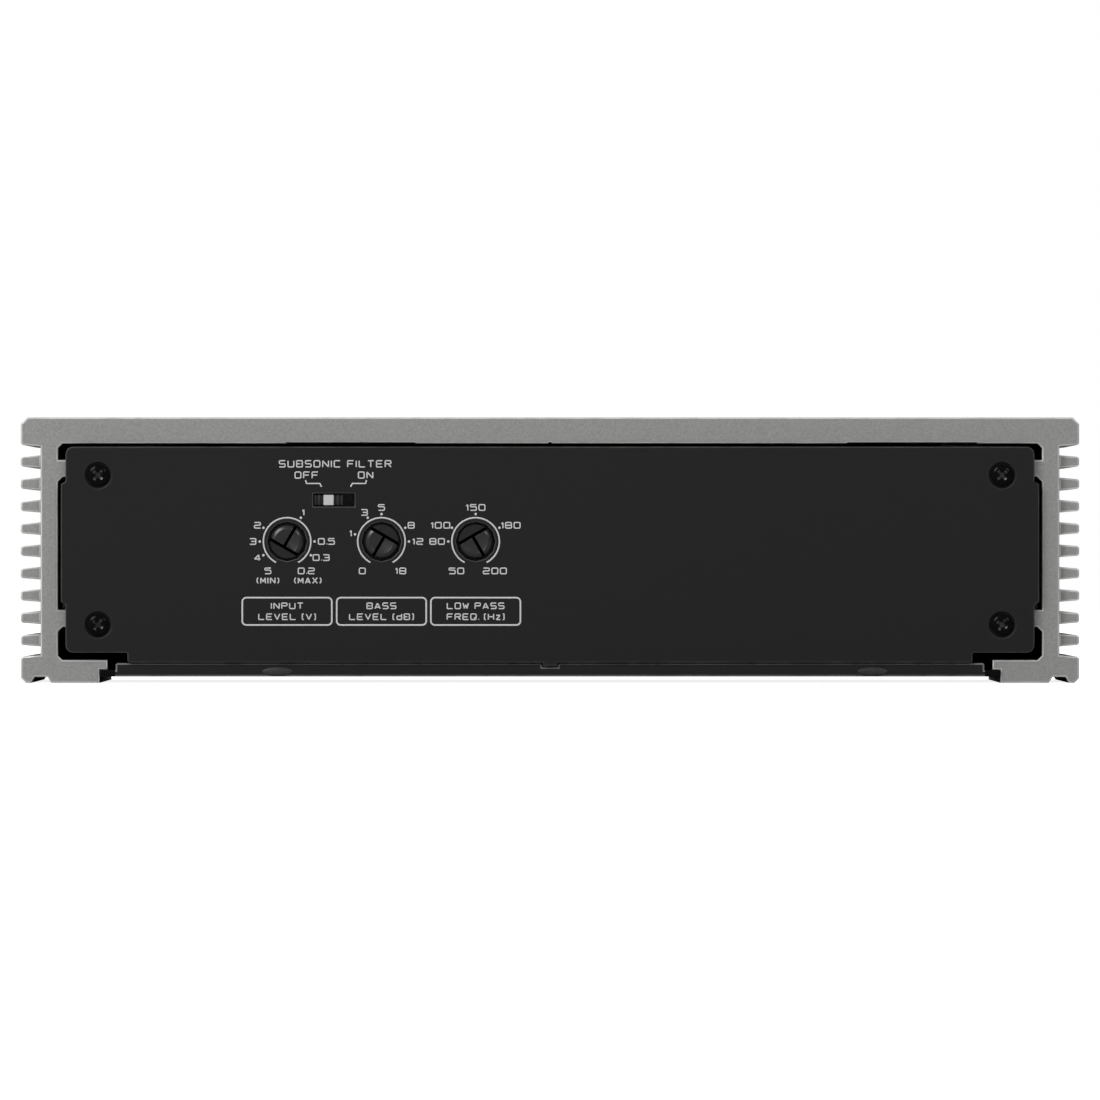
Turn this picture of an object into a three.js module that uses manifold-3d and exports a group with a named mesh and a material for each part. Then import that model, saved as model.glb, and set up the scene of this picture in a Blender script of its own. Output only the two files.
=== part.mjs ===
// A car amplifier: an extruded aluminium case, black steel end panels and bottom plate,
// a control board behind the front panel, terminals and jacks on the rear panel, and the
// power stage inside. Millimetres, +Z up, front (control) panel facing -Y.
// The origin is the centre of the footprint, on the surface that the case stands on.
import * as THREE from 'three';
import { mergeVertices } from 'three/addons/utils/BufferGeometryUtils.js';
import Module from 'manifold-3d';

const wasm = await Module();
wasm.setup();

// ---------------------------------------------------------------- driving dimensions
const WIDTH = 240;
const LENGTH = 320;
const TOP_Z = 60.2;
const PANEL_THICKNESS = 1.5;
const HEAD_REACH = 1.0; // how far the panel screws stand out of the front panel
const JACK_REACH = 8.0; // how far the phono jacks stand out of the rear panel
const GAP = 0.3; // clearance between neighbouring pieces
const SEAT_GAP = 0.1; // clearance where a flat face rests on another

const FRONT_FACE = -LENGTH / 2 + HEAD_REACH;
const FRONT_BACK = FRONT_FACE + PANEL_THICKNESS;
const REAR_FACE = LENGTH / 2 - JACK_REACH;
const REAR_BACK = REAR_FACE - PANEL_THICKNESS;
const CASE_FRONT = FRONT_BACK + SEAT_GAP;
const CASE_REAR = REAR_BACK - SEAT_GAP;

// Case section: a top slab, two finned walls and two feet.
const WALL = { outer: 115.52, inner: 111.55 };
const SLAB = { bevel: 1.5, tipZ: 53.97, rootZ: 53.6, ceilingZ: 54.24 };
const FIN = { count: 9, pitch: 5.0625, topZ: 50.19, rootHalf: 1.43, tipHalf: 1.1, bevel: 0.4 };
const FIN_SETBACK = 1.6;
const FOOT = { tipZ: 5.92, rootZ: 6.3, floorZ: 5.21, innerX: 102.1, lipX: 100.33, lipZ: 2.98 };
const FOOT_GROOVE = { outerX: 117.7, innerX: 113.05, topOuterX: 116.9, topInnerX: 113.96, depth: 1.35 };
const FOOT_BEVEL = { width: 1.15, height: 1.1 };
const CEILING_RECESS = { depth: 0.2, spans: [[67.5, 96.8], [-59.8, -30.6]] };
const CENTRE_GROOVE = { half: 0.6, depth: 0.3 };

// Rails along the inside of the walls carry the panel screws, and the lower pair the board.
const RAIL_X = 102.5;
const RAILS = [
  { screwZ: 47.1, topZ: 50.57, bottomZ: 46.7 },
  { screwZ: 13.2, topZ: 16.57, bottomZ: 12.69 },
];
const PILOT_RADIUS = 1.5;

// End panels: one outline, mirrored about X = 0.
const PANEL = { topZ: 53.56, sideX: 109.85, wideX: 110.9, bottomZ: 6.84, corner: 2 };
const PANEL_JOGS = { upperZ: 45.6, upperEndZ: 45.1, lowerEndZ: 18.3, lowerZ: 17.8 };
const SKIRT = { halfX: 95.8, bottomZ: 4.6, thickness: 1.5, depth: 12.5 };
const KEY_TAB = { half: 1.5, bottomZ: 3.9 };

// The rear panel laps over the end of the extrusion and closes every gap.
const REAR_COVER = { topZ: 56.5, sideX: 113.5, bottomZ: 2, corner: 2.5 };

// Bottom plate: a shallow pressed tray, rim down.
const TRAY = { rimX: 102, rimBottomZ: 1.44, rimTopZ: 2.88, topZ: 4.5, halfX: 98.5, sheet: 0.8, setback: 0.8, chamfer: 0.3 };
const TRAY_SCREWS = { xs: [-61.8, 73.2], inset: 6 };

// Controls on the front panel.
const CONTROL_Z = 32.07;
const KNOB = { xs: [-59.6, -38.2, -16.85], turns: [30, -150, 150], radius: 3.88, reach: 0.4, depth: 2.8 };
const KNOB_HOLE = 4.5;
const SWITCH = { x: -49.0, z: 41.47, slotLength: 9.4, slotHeight: 2.97, travel: 2.4 };
const CONTROL_BOARD = { y: -148, thickness: 1.6, x0: -72, x1: 0, z0: 20, z1: 49 };

// Main board, on the lower rails.
const BOARD = { z: RAILS[1].topZ + GAP, thickness: 1.6, halfX: 110.6, y0: -150, y1: 146 };
const BOARD_TOP = BOARD.z + BOARD.thickness + GAP;

// Rear panel: a row of terminals and jacks, centred on one line.
const REAR_Z = 31;
const POWER_BLOCK = { x: -68, pitch: 15, poles: 3, height: 25, depth: 28 };
const SPEAKER_BLOCK = { x: 12, pitch: 15, poles: 2, height: 25, depth: 28 };
const POLE = { margin: 2.5, socket: 9, socketDepth: 16, wellRadius: 3.6, wellDepth: 3, rowOffset: 6 };
const FUSE = { x: -26, zs: [35.5, 26.5], width: 19.1, thickness: 5.2, height: 12, reach: 6 };
const JACK = { xs: [77, 93], radius: 4.15, bore: 3.35, core: 2.95, pinHole: 1.6, flange: 5.4 };
const LEVEL_SOCKET = { x: 52, width: 14, height: 13, mouthWidth: 11.4, mouthHeight: 7.2, depth: 18 };
const LIGHT = { x: 36, radius: 1.5, flange: 2.6 };

// Corner notches, open to the side, for the screws that hold the case down.
const NOTCH = { x: 118, radius: 4.2, slot: 2.25, seatZ: 5.6, inset: 16 };

// Screws through the top slab into the transistor clamps.
const TOP_SCREW = { x: 95.5, ys: [-70, 62], proud: 0.15, headRadius: 2.95, headDepth: 1.7 };
const CLAMP = { y0: -92, y1: 84, sheet: 1.8 };

// ---------------------------------------------------------------- materials
function surface(color, roughness, metalness) {
  return new THREE.MeshStandardMaterial({ color, roughness, metalness });
}

const silverPaint = surface(0x8a8a88, 0.45, 0.6);
const blackSteel = surface(0x2c2c2d, 0.55, 0.3);
const blackScrew = surface(0x1a1a1b, 0.4, 0.7);
const platedScrew = surface(0xb9b9bb, 0.3, 0.9);
const blackPlastic = surface(0x161617, 0.5, 0.0);
const greenBoard = surface(0x1f4d2e, 0.5, 0.0);
const brass = surface(0xc6a04a, 0.3, 0.9);
const steel = surface(0x9a9b9d, 0.4, 0.9);
const ferrite = surface(0x33363a, 0.7, 0.1);
const copperWire = surface(0xa4552a, 0.35, 0.8);
const sleeve = surface(0x14161c, 0.4, 0.0);
const amberPlastic = surface(0xd8891c, 0.3, 0.0);
const clearPlastic = surface(0xcfe3ff, 0.15, 0.0);

// ---------------------------------------------------------------- solid helpers
// Merges shared corners and drops triangles that have collapsed, ready for a boolean.
function weld(geometry) {
  const bare = geometry.index ? geometry.clone() : geometry;
  bare.deleteAttribute('normal');
  bare.deleteAttribute('uv');
  const merged = mergeVertices(bare, 1e-4);
  const kept = [];
  const index = merged.index.array;
  for (let i = 0; i < index.length; i += 3) {
    const [a, b, c] = [index[i], index[i + 1], index[i + 2]];
    if (a !== b && b !== c && c !== a) kept.push(a, b, c);
  }
  merged.setIndex(kept);
  return merged;
}

function toSolid(geometry) {
  const welded = weld(geometry);
  return new wasm.Manifold(new wasm.Mesh({
    numProp: 3,
    vertProperties: new Float32Array(welded.attributes.position.array),
    triVerts: new Uint32Array(welded.index.array),
  }));
}

function toGeometry(solid) {
  const mesh = solid.getMesh();
  const geometry = new THREE.BufferGeometry();
  geometry.setAttribute('position', new THREE.BufferAttribute(mesh.vertProperties, 3));
  geometry.setIndex(new THREE.BufferAttribute(mesh.triVerts, 1));
  return geometry;
}

function join(first, ...others) {
  return toGeometry(others.reduce((solid, other) => solid.add(toSolid(other)), toSolid(first)));
}

function cut(first, ...tools) {
  return toGeometry(tools.reduce((solid, tool) => solid.subtract(toSolid(tool)), toSolid(first)));
}

function box(x0, x1, y0, y1, z0, z1) {
  const geometry = new THREE.BoxGeometry(x1 - x0, y1 - y0, z1 - z0);
  return geometry.translate((x0 + x1) / 2, (y0 + y1) / 2, (z0 + z1) / 2);
}

// A box given by its middle in X and Z and its two ends in Y.
function block(x, z, width, height, y0, y1) {
  return box(x - width / 2, x + width / 2, y0, y1, z - height / 2, z + height / 2);
}

function rodY(x, z, radius, y0, y1, sides = 16) {
  const geometry = new THREE.CylinderGeometry(radius, radius, y1 - y0, sides);
  return geometry.translate(x, (y0 + y1) / 2, z);
}

function rodZ(x, y, radius, z0, z1, sides = 16, topRadius = radius) {
  const geometry = new THREE.CylinderGeometry(topRadius, radius, z1 - z0, sides);
  return geometry.rotateX(Math.PI / 2).translate(x, y, (z0 + z1) / 2);
}

// Turns a profile of [radius, height] points, bottom to top, about the Z axis.
function turn(profile, sides = 16) {
  const points = profile.map(([radius, height]) => new THREE.Vector2(radius, height));
  return weld(new THREE.LatheGeometry(points, sides)).rotateX(Math.PI / 2);
}

// Extrudes a shape drawn in X and Z along Y.
function prismY(shape, y0, y1, curveSegments = 6) {
  const options = { depth: y1 - y0, bevelEnabled: false, curveSegments };
  return new THREE.ExtrudeGeometry(shape, options).rotateX(Math.PI / 2).translate(0, y1, 0);
}

function polygon(points) {
  return new THREE.Shape(points.map(([x, z]) => new THREE.Vector2(x, z)));
}

// A closed outline of [x, z, corner radius] points.
function roundedPolygon(corners) {
  const shape = new THREE.Shape();
  corners.forEach(([x, z, radius], i) => {
    const here = new THREE.Vector2(x, z);
    const before = corners[(i + corners.length - 1) % corners.length];
    const after = corners[(i + 1) % corners.length];
    const start = new THREE.Vector2(before[0], before[1]).sub(here).setLength(radius).add(here);
    const end = new THREE.Vector2(after[0], after[1]).sub(here).setLength(radius).add(here);
    if (i === 0) shape.moveTo(start.x, start.y);
    else shape.lineTo(start.x, start.y);
    shape.quadraticCurveTo(x, z, end.x, end.y);
  });
  shape.closePath();
  return shape;
}

function roundHole(shape, x, z, radius) {
  const hole = new THREE.Path();
  hole.absarc(x, z, radius, 0, 2 * Math.PI, false);
  shape.holes.push(hole);
}

function squareHole(shape, x, z, width, height) {
  const [w, h] = [width / 2, height / 2];
  const corners = [[x - w, z - h], [x + w, z - h], [x + w, z + h], [x - w, z + h]];
  shape.holes.push(new THREE.Path(corners.map(([px, pz]) => new THREE.Vector2(px, pz))));
}

// The four holes that line up with the screw channels in the rails.
function withScrewHoles(shape) {
  for (const { screwZ } of RAILS) {
    roundHole(shape, RAIL_X, screwZ, PILOT_RADIUS);
    roundHole(shape, -RAIL_X, screwZ, PILOT_RADIUS);
  }
  return shape;
}

const amplifier = new THREE.Group();
amplifier.name = 'car_amplifier';

function place(name, geometry, material, position = [0, 0, 0], rotation = [0, 0, 0]) {
  const mesh = new THREE.Mesh(geometry, material);
  mesh.name = name;
  mesh.position.set(...position);
  mesh.rotation.set(...rotation);
  amplifier.add(mesh);
}

// ---------------------------------------------------------------- case extrusion
// One rail seen in section: an arm from the wall that ends in a round boss.
function railOutline({ screwZ, topZ, bottomZ }) {
  const radius = topZ - screwZ;
  const startAngle = Math.asin((bottomZ - screwZ) / radius);
  const steps = 12;
  const points = [[WALL.inner, bottomZ - 1.1], [WALL.inner - 1.1, bottomZ]];
  for (let i = 0; i <= steps; i += 1) {
    const angle = startAngle - (i / steps) * (1.5 * Math.PI + startAngle);
    points.push([RAIL_X + radius * Math.cos(angle), screwZ + radius * Math.sin(angle)]);
  }
  points.push([WALL.inner, topZ]);
  return points;
}

function finOutline(centreZ) {
  const tip = WIDTH / 2;
  return [
    [WALL.outer, centreZ + FIN.rootHalf],
    [tip - FIN.bevel, centreZ + FIN.tipHalf],
    [tip, centreZ + FIN.tipHalf - FIN.bevel],
    [tip, centreZ - FIN.tipHalf + FIN.bevel],
    [tip - FIN.bevel, centreZ - FIN.tipHalf],
    [WALL.outer, centreZ - FIN.rootHalf],
  ];
}

// The section of the right-hand side, from the top edge round to the ceiling.
function caseHalfOutline() {
  const tip = WIDTH / 2;
  const points = [
    [tip - SLAB.bevel, TOP_Z],
    [tip, TOP_Z - SLAB.bevel],
    [tip, SLAB.tipZ + FIN.bevel],
    [tip - FIN.bevel, SLAB.tipZ],
    [WALL.outer, SLAB.rootZ],
  ];
  for (let i = 0; i < FIN.count; i += 1) {
    points.push(...finOutline(FIN.topZ - i * FIN.pitch));
  }
  points.push(
    [WALL.outer, FOOT.rootZ],
    [tip - FIN.bevel, FOOT.tipZ],
    [tip, FOOT.tipZ - FIN.bevel],
    [tip, FOOT_BEVEL.height],
    [tip - FOOT_BEVEL.width, 0],
    [FOOT_GROOVE.outerX, 0],
    [FOOT_GROOVE.topOuterX, FOOT_GROOVE.depth],
    [FOOT_GROOVE.topInnerX, FOOT_GROOVE.depth],
    [FOOT_GROOVE.innerX, 0],
    [FOOT.innerX, 0],
    [FOOT.innerX, FOOT.lipZ],
    [FOOT.lipX, FOOT.lipZ],
    [FOOT.lipX, FOOT.floorZ],
    [WALL.inner - 1, FOOT.floorZ],
    [WALL.inner, FOOT.floorZ + 1],
    ...railOutline(RAILS[1]),
    ...railOutline(RAILS[0]),
    [WALL.inner, SLAB.ceilingZ - 1],
    [WALL.inner - 1, SLAB.ceilingZ],
  );
  return points;
}

function ceilingOutline() {
  const [right, left] = CEILING_RECESS.spans;
  const deepZ = SLAB.ceilingZ + CEILING_RECESS.depth;
  const recess = ([x0, x1]) => [[x1, SLAB.ceilingZ], [x1, deepZ], [x0, deepZ], [x0, SLAB.ceilingZ]];
  const groove = [
    [CENTRE_GROOVE.half, SLAB.ceilingZ],
    [0, SLAB.ceilingZ + CENTRE_GROOVE.depth],
    [-CENTRE_GROOVE.half, SLAB.ceilingZ],
  ];
  return [...recess(right), ...groove, ...recess(left)];
}

function caseExtrusion() {
  const right = caseHalfOutline();
  const left = right.map(([x, z]) => [-x, z]).reverse();
  const shape = withScrewHoles(polygon([...right, ...ceilingOutline(), ...left]));
  return prismY(shape, CASE_FRONT, CASE_REAR);
}

// A pocket for a screw head and a slot for its shank, open to the side of the case.
function notchTools(side, y) {
  const x = side * NOTCH.x;
  const outer = side * (WIDTH / 2 + 5);
  const [near, far] = [Math.min(x, outer), Math.max(x, outer)];
  const pocket = rodZ(x, y, NOTCH.radius, NOTCH.seatZ, TOP_Z + 1, 24);
  const slot = rodZ(x, y, NOTCH.slot, -1, NOTCH.seatZ + 1, 12);
  const mouth = box(near, far, y - NOTCH.slot, y + NOTCH.slot, -1, NOTCH.seatZ + 1);
  return [pocket, slot, mouth];
}

function topScrewTools(x, y) {
  const { headRadius, headDepth } = TOP_SCREW;
  const shankRadius = 1.5 + GAP;
  const through = rodZ(x, y, shankRadius, SLAB.ceilingZ - 1, TOP_Z + 1, 12);
  const seat = rodZ(x, y, shankRadius, TOP_Z - headDepth - GAP, TOP_Z + 0.01, 24, headRadius + GAP);
  return [through, seat];
}

const NOTCH_YS = [CASE_FRONT + NOTCH.inset, CASE_REAR - NOTCH.inset];
const BOARD_SCREWS = [[-108.3, 100], [108.3, -110]];

// The fins are trimmed a little shorter than the walls at both ends.
function finTrimTools(side) {
  const inner = Math.min(side * WALL.outer, side * WIDTH);
  const outer = Math.max(side * WALL.outer, side * WIDTH);
  const [z0, z1] = [FOOT.rootZ + 0.3, SLAB.rootZ - 0.3];
  return [
    box(inner, outer, CASE_FRONT - 1, CASE_FRONT + FIN_SETBACK, z0, z1),
    box(inner, outer, CASE_REAR - FIN_SETBACK, CASE_REAR + 1, z0, z1),
  ];
}

function heatSink() {
  const tools = [];
  for (const side of [-1, 1]) {
    tools.push(...finTrimTools(side));
    for (const y of NOTCH_YS) tools.push(...notchTools(side, y));
    for (const y of TOP_SCREW.ys) tools.push(...topScrewTools(side * TOP_SCREW.x, y));
  }
  for (const [x, y] of BOARD_SCREWS) {
    tools.push(rodZ(x, y, PILOT_RADIUS, RAILS[1].topZ - 3, RAILS[1].topZ + 1, 12));
  }
  return cut(caseExtrusion(), ...tools);
}

place('heat_sink', heatSink(), silverPaint);

// ---------------------------------------------------------------- bottom plate
function trayScrewPlaces() {
  const [nearY, farY] = [FRONT_FACE + TRAY_SCREWS.inset, REAR_FACE - TRAY_SCREWS.inset];
  return TRAY_SCREWS.xs.flatMap((x) => [[x, nearY], [-x, farY]]);
}

function bottomPlate() {
  const { rimX, rimBottomZ, rimTopZ, topZ, halfX, sheet, setback, chamfer } = TRAY;
  const [y0, y1] = [FRONT_FACE + setback, REAR_BACK - SEAT_GAP];
  const shoulder = topZ - chamfer;
  const section = polygon([
    [-rimX, rimBottomZ], [rimX, rimBottomZ], [rimX, rimTopZ], [halfX, rimTopZ],
    [halfX, shoulder], [halfX - chamfer, topZ], [chamfer - halfX, topZ],
    [-halfX, shoulder], [-halfX, rimTopZ], [-rimX, rimTopZ],
  ]);
  const plateau = prismY(section, y0, y1);
  const inside = halfX - sheet;
  const hollow = box(-inside, inside, y0 + sheet, y1 - sheet, rimBottomZ - 1, topZ - sheet);
  const keyHalf = KEY_TAB.half + GAP;
  const keyNotch = box(-keyHalf, keyHalf, FRONT_FACE - 1, FRONT_BACK + GAP, KEY_TAB.bottomZ - GAP, topZ + 1);
  const holes = trayScrewPlaces().map(([x, y]) => rodZ(x, y, PILOT_RADIUS, topZ - 2, topZ + 1, 12));
  return cut(plateau, hollow, keyNotch, ...holes);
}

place('bottom_plate', bottomPlate(), blackSteel);

// ---------------------------------------------------------------- end panels
function mirroredOutline(right) {
  const left = right.map(([x, z, radius]) => [-x, z, radius]).reverse();
  return roundedPolygon([...right, ...left]);
}

function controlPanelShape() {
  return withScrewHoles(mirroredOutline([
    [PANEL.sideX, PANEL.topZ, PANEL.corner],
    [PANEL.sideX, PANEL_JOGS.upperZ, 0.3],
    [PANEL.wideX, PANEL_JOGS.upperEndZ, 0.3],
    [PANEL.wideX, PANEL_JOGS.lowerEndZ, 0.3],
    [PANEL.sideX, PANEL_JOGS.lowerZ, 0.3],
    [PANEL.sideX, PANEL.bottomZ, PANEL.corner],
    [SKIRT.halfX, PANEL.bottomZ, 0.4],
    [SKIRT.halfX, SKIRT.bottomZ, 0.6],
    [KEY_TAB.half, SKIRT.bottomZ, 0.3],
    [KEY_TAB.half, KEY_TAB.bottomZ, 0.3],
  ]));
}

function rearCoverShape() {
  return withScrewHoles(mirroredOutline([
    [REAR_COVER.sideX, REAR_COVER.topZ, REAR_COVER.corner],
    [REAR_COVER.sideX, REAR_COVER.bottomZ, REAR_COVER.corner],
  ]));
}

// A panel sheet from y0 to y1 whose lower edge is folded back into the case as a flange.
function foldedPanel(shape, y0, y1, flangeEndY) {
  const flangeHalf = SKIRT.halfX - 1;
  const [flange0, flange1] = [Math.min(flangeEndY, y0 + 0.1), Math.max(flangeEndY, y1 - 0.1)];
  const [z0, z1] = [SKIRT.bottomZ, SKIRT.bottomZ + SKIRT.thickness];
  const flange = box(-flangeHalf, flangeHalf, flange0, flange1, z0, z1);
  const inside = trayScrewPlaces().filter(([, y]) => y > flange0 && y < flange1);
  const holes = inside.map(([x, y]) => rodZ(x, y, PILOT_RADIUS, z0 - 1, z1 + 1, 12));
  return cut(join(prismY(shape, y0, y1), flange), ...holes);
}

function frontPanel() {
  const shape = controlPanelShape();
  for (const x of KNOB.xs) roundHole(shape, x, CONTROL_Z, KNOB_HOLE);
  squareHole(shape, SWITCH.x, SWITCH.z, SWITCH.slotLength, SWITCH.slotHeight);
  return foldedPanel(shape, FRONT_FACE, FRONT_BACK, FRONT_BACK + SKIRT.depth);
}

function blockWidth({ pitch, poles }) {
  return pitch * poles + 2 * POLE.margin;
}

function rearPanel() {
  const [y0, y1] = [REAR_BACK - 1, REAR_FACE + 1];
  const opening = (x, width, height) => block(x, REAR_Z, width + 2 * GAP, height + 2 * GAP, y0, y1);
  const openings = [
    opening(POWER_BLOCK.x, blockWidth(POWER_BLOCK), POWER_BLOCK.height),
    opening(SPEAKER_BLOCK.x, blockWidth(SPEAKER_BLOCK), SPEAKER_BLOCK.height),
    opening(FUSE.x, FUSE.width + 5, POWER_BLOCK.height),
    opening(LEVEL_SOCKET.x, LEVEL_SOCKET.width, LEVEL_SOCKET.height),
    rodY(LIGHT.x, REAR_Z, LIGHT.radius + GAP, y0, y1),
    ...JACK.xs.map((x) => rodY(x, REAR_Z, JACK.radius + GAP, y0, y1, 24)),
  ];
  const sheet = foldedPanel(rearCoverShape(), REAR_BACK, REAR_FACE, REAR_BACK - SKIRT.depth);
  return cut(sheet, ...openings);
}

place('front_panel', frontPanel(), blackSteel);
place('rear_panel', rearPanel(), blackSteel);

// ---------------------------------------------------------------- screws
// Every screw is turned about Z with its head up, and the underside of the head (or the
// top of a countersunk head) at Z = 0.
function crossRecess(width, topZ, depth) {
  const [long, short] = [width / 2, 0.35];
  const across = box(-long, long, -short, short, topZ - depth, topZ + 1);
  const along = box(-short, short, -long, long, topZ - depth, topZ + 1);
  return [across, along];
}

function flangedScrew({ radius, discRadius, height, shank, length }) {
  const body = turn([
    [0, -length], [shank, -length], [shank, 0], [radius, 0], [radius, 0.5 * height],
    [discRadius, height], [0, height],
  ], 12);
  return cut(body, ...crossRecess(1.3 * discRadius, height, 0.7));
}

function countersunkScrew({ radius, headDepth, shank, length }) {
  const body = turn([[0, -length], [shank, -length], [shank, -headDepth], [radius, 0], [0, 0]], 12);
  const socket = rodZ(0, 0, 1.15, -1.2, 1, 6);
  return cut(body, socket);
}

const panelScrew = flangedScrew({
  radius: 3.1,
  discRadius: 2.35,
  height: HEAD_REACH - 0.05,
  shank: 1.15,
  length: 12,
});
const trayScrew = flangedScrew({ radius: 2.7, discRadius: 2.2, height: 1.6, shank: 1.15, length: 5 });
const boardScrew = flangedScrew({ radius: 2.9, discRadius: 2.3, height: 1.8, shank: 1.15, length: 4.2 });
const topScrew = countersunkScrew({
  radius: TOP_SCREW.headRadius,
  headDepth: TOP_SCREW.headDepth,
  shank: 1.5,
  length: 9,
});

const FACING_FRONT = [Math.PI / 2, 0, 0];
const FACING_REAR = [-Math.PI / 2, 0, 0];
const FACING_DOWN = [Math.PI, 0, 0];

RAILS.flatMap(({ screwZ }) => [[-RAIL_X, screwZ], [RAIL_X, screwZ]]).forEach(([x, z], i) => {
  place(`front_panel_screw_${i + 1}`, panelScrew, blackScrew, [x, FRONT_FACE - 0.05, z], FACING_FRONT);
  place(`rear_panel_screw_${i + 1}`, panelScrew, blackScrew, [x, REAR_FACE + 0.05, z], FACING_REAR);
});

trayScrewPlaces().forEach(([x, y], i) => {
  const z = TRAY.topZ - TRAY.sheet - SEAT_GAP;
  place(`bottom_plate_screw_${i + 1}`, trayScrew, blackScrew, [x, y, z], FACING_DOWN);
});

BOARD_SCREWS.forEach(([x, y], i) => {
  const z = BOARD.z + BOARD.thickness + SEAT_GAP;
  place(`board_screw_${i + 1}`, boardScrew, platedScrew, [x, y, z]);
});

const topScrewPlaces = [-1, 1].flatMap((side) => TOP_SCREW.ys.map((y) => [side * TOP_SCREW.x, y]));
topScrewPlaces.forEach(([x, y], i) => {
  place(`top_screw_${i + 1}`, topScrew, platedScrew, [x, y, TOP_Z + TOP_SCREW.proud]);
});

// ---------------------------------------------------------------- boards
function mainBoard() {
  const board = box(-BOARD.halfX, BOARD.halfX, BOARD.y0, BOARD.y1, BOARD.z, BOARD.z + BOARD.thickness);
  const holes = BOARD_SCREWS.map(([x, y]) => rodZ(x, y, PILOT_RADIUS, BOARD.z - 1, BOARD_TOP + 1, 12));
  return cut(board, ...holes);
}

function controlBoard() {
  const { x0, x1, y, thickness, z0, z1 } = CONTROL_BOARD;
  return box(x0, x1, y, y + thickness, z0, z1);
}

place('main_board', mainBoard(), greenBoard);
place('control_board', controlBoard(), greenBoard);

// The plug-in strip that carries the control signals from one board to the other.
const linkY = CONTROL_BOARD.y + CONTROL_BOARD.thickness + GAP;
place('board_link', box(-46, -26, linkY, linkY + 6, BOARD_TOP, BOARD_TOP + 9), blackPlastic);

// ---------------------------------------------------------------- potentiometers and knobs
const POT = { size: 11, shaftRadius: 1.5, frontY: FRONT_BACK + 1.4 };

function potBody(x) {
  const back = CONTROL_BOARD.y - GAP;
  const body = block(x, CONTROL_Z, POT.size, POT.size, POT.frontY, back);
  return cut(body, rodY(x, CONTROL_Z, POT.shaftRadius + GAP, POT.frontY - 1, POT.frontY + 4));
}

// A knob seen from the front, pointing up: a stem slot, and a crossbar slot behind it.
function knob() {
  const [front, back] = [FRONT_FACE - KNOB.reach, FRONT_FACE + KNOB.depth - KNOB.reach];
  const cap = rodY(0, 0, KNOB.radius, front, back, 20);
  const shaft = rodY(0, 0, POT.shaftRadius, back - 0.5, POT.frontY + 3.4);
  const stem = box(-0.4, 0.4, front - 1, front + 0.7, -0.9, KNOB.radius + 1);
  const crossbar = box(-KNOB.radius, KNOB.radius, front - 1, front + 0.7, -1.9, -1.1);
  const tail = box(-KNOB.radius, KNOB.radius, front - 1, front + 0.3, -KNOB.radius, -1.5);
  return cut(join(cap, shaft), stem, crossbar, tail);
}

['input_level', 'bass_level', 'filter_frequency'].forEach((name, i) => {
  const turned = [0, THREE.MathUtils.degToRad(KNOB.turns[i]), 0];
  place(`${name}_pot`, potBody(KNOB.xs[i]), blackPlastic);
  place(`${name}_knob`, knob(), blackPlastic, [KNOB.xs[i], 0, CONTROL_Z], turned);
});

// ---------------------------------------------------------------- slide switch
const CHANNEL_DEPTH = 3;
const SLIDER = { length: SWITCH.slotLength - SWITCH.travel - 2 * GAP, height: SWITCH.slotHeight - 2 * GAP };

function switchBody() {
  const front = FRONT_BACK + GAP;
  const body = block(SWITCH.x, SWITCH.z, SWITCH.slotLength + 4, SWITCH.slotHeight + 3, front, CONTROL_BOARD.y - GAP);
  const channel = block(
    SWITCH.x, SWITCH.z, SWITCH.slotLength, SWITCH.slotHeight, front - 1, front + CHANNEL_DEPTH);
  return cut(body, channel);
}

// The slider sits at the left end of its slot. Its middle third stands up between ribs.
function switchSlider() {
  const front = FRONT_FACE + 0.5;
  const back = FRONT_BACK + GAP + CHANNEL_DEPTH - GAP;
  const left = SWITCH.x - SWITCH.slotLength / 2 + GAP;
  const x = left + SLIDER.length / 2;
  const body = block(x, SWITCH.z, SLIDER.length, SLIDER.height, front, back);
  const ribGaps = [-2.6, -1.6, 1.6, 2.6].map((offset) => {
    return block(x + offset, SWITCH.z, 0.5, SLIDER.height + 1, front - 1, front + 0.5);
  });
  return cut(body, ...ribGaps);
}

place('switch_body', switchBody(), blackPlastic);
place('switch_slider', switchSlider(), blackPlastic);

// ---------------------------------------------------------------- terminal blocks
function poleXs({ x, pitch, poles }) {
  return Array.from({ length: poles }, (_, i) => x + (i - (poles - 1) / 2) * pitch);
}

const BLOCK_FACE = REAR_FACE + 3;
const SCREW_ROW_Z = REAR_Z + POLE.rowOffset;
const SOCKET_ROW_Z = REAR_Z - POLE.rowOffset + 0.5;

function terminalBlock(item) {
  const body = block(item.x, REAR_Z, blockWidth(item), item.height, BLOCK_FACE - item.depth, BLOCK_FACE);
  const tools = poleXs(item).flatMap((x) => [
    block(x, SOCKET_ROW_Z, POLE.socket, POLE.socket, BLOCK_FACE - POLE.socketDepth, BLOCK_FACE + 1),
    rodY(x, SCREW_ROW_Z, POLE.wellRadius, BLOCK_FACE - POLE.wellDepth, BLOCK_FACE + 1),
    rodY(x, SCREW_ROW_Z, 2.3, BLOCK_FACE - 12, BLOCK_FACE + 1, 12),
  ]);
  return cut(body, ...tools);
}

const terminalScrew = flangedScrew({ radius: 3.2, discRadius: 3.0, height: 1.9, shank: 2, length: 8 });

function placeTerminalBlock(name, item) {
  place(`${name}_terminal_block`, terminalBlock(item), blackPlastic);
  poleXs(item).forEach((x, i) => {
    const seat = [x, BLOCK_FACE - POLE.wellDepth + SEAT_GAP, SCREW_ROW_Z];
    place(`${name}_terminal_screw_${i + 1}`, terminalScrew, platedScrew, seat, FACING_REAR);
  });
}

placeTerminalBlock('power', POWER_BLOCK);
placeTerminalBlock('speaker', SPEAKER_BLOCK);

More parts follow.
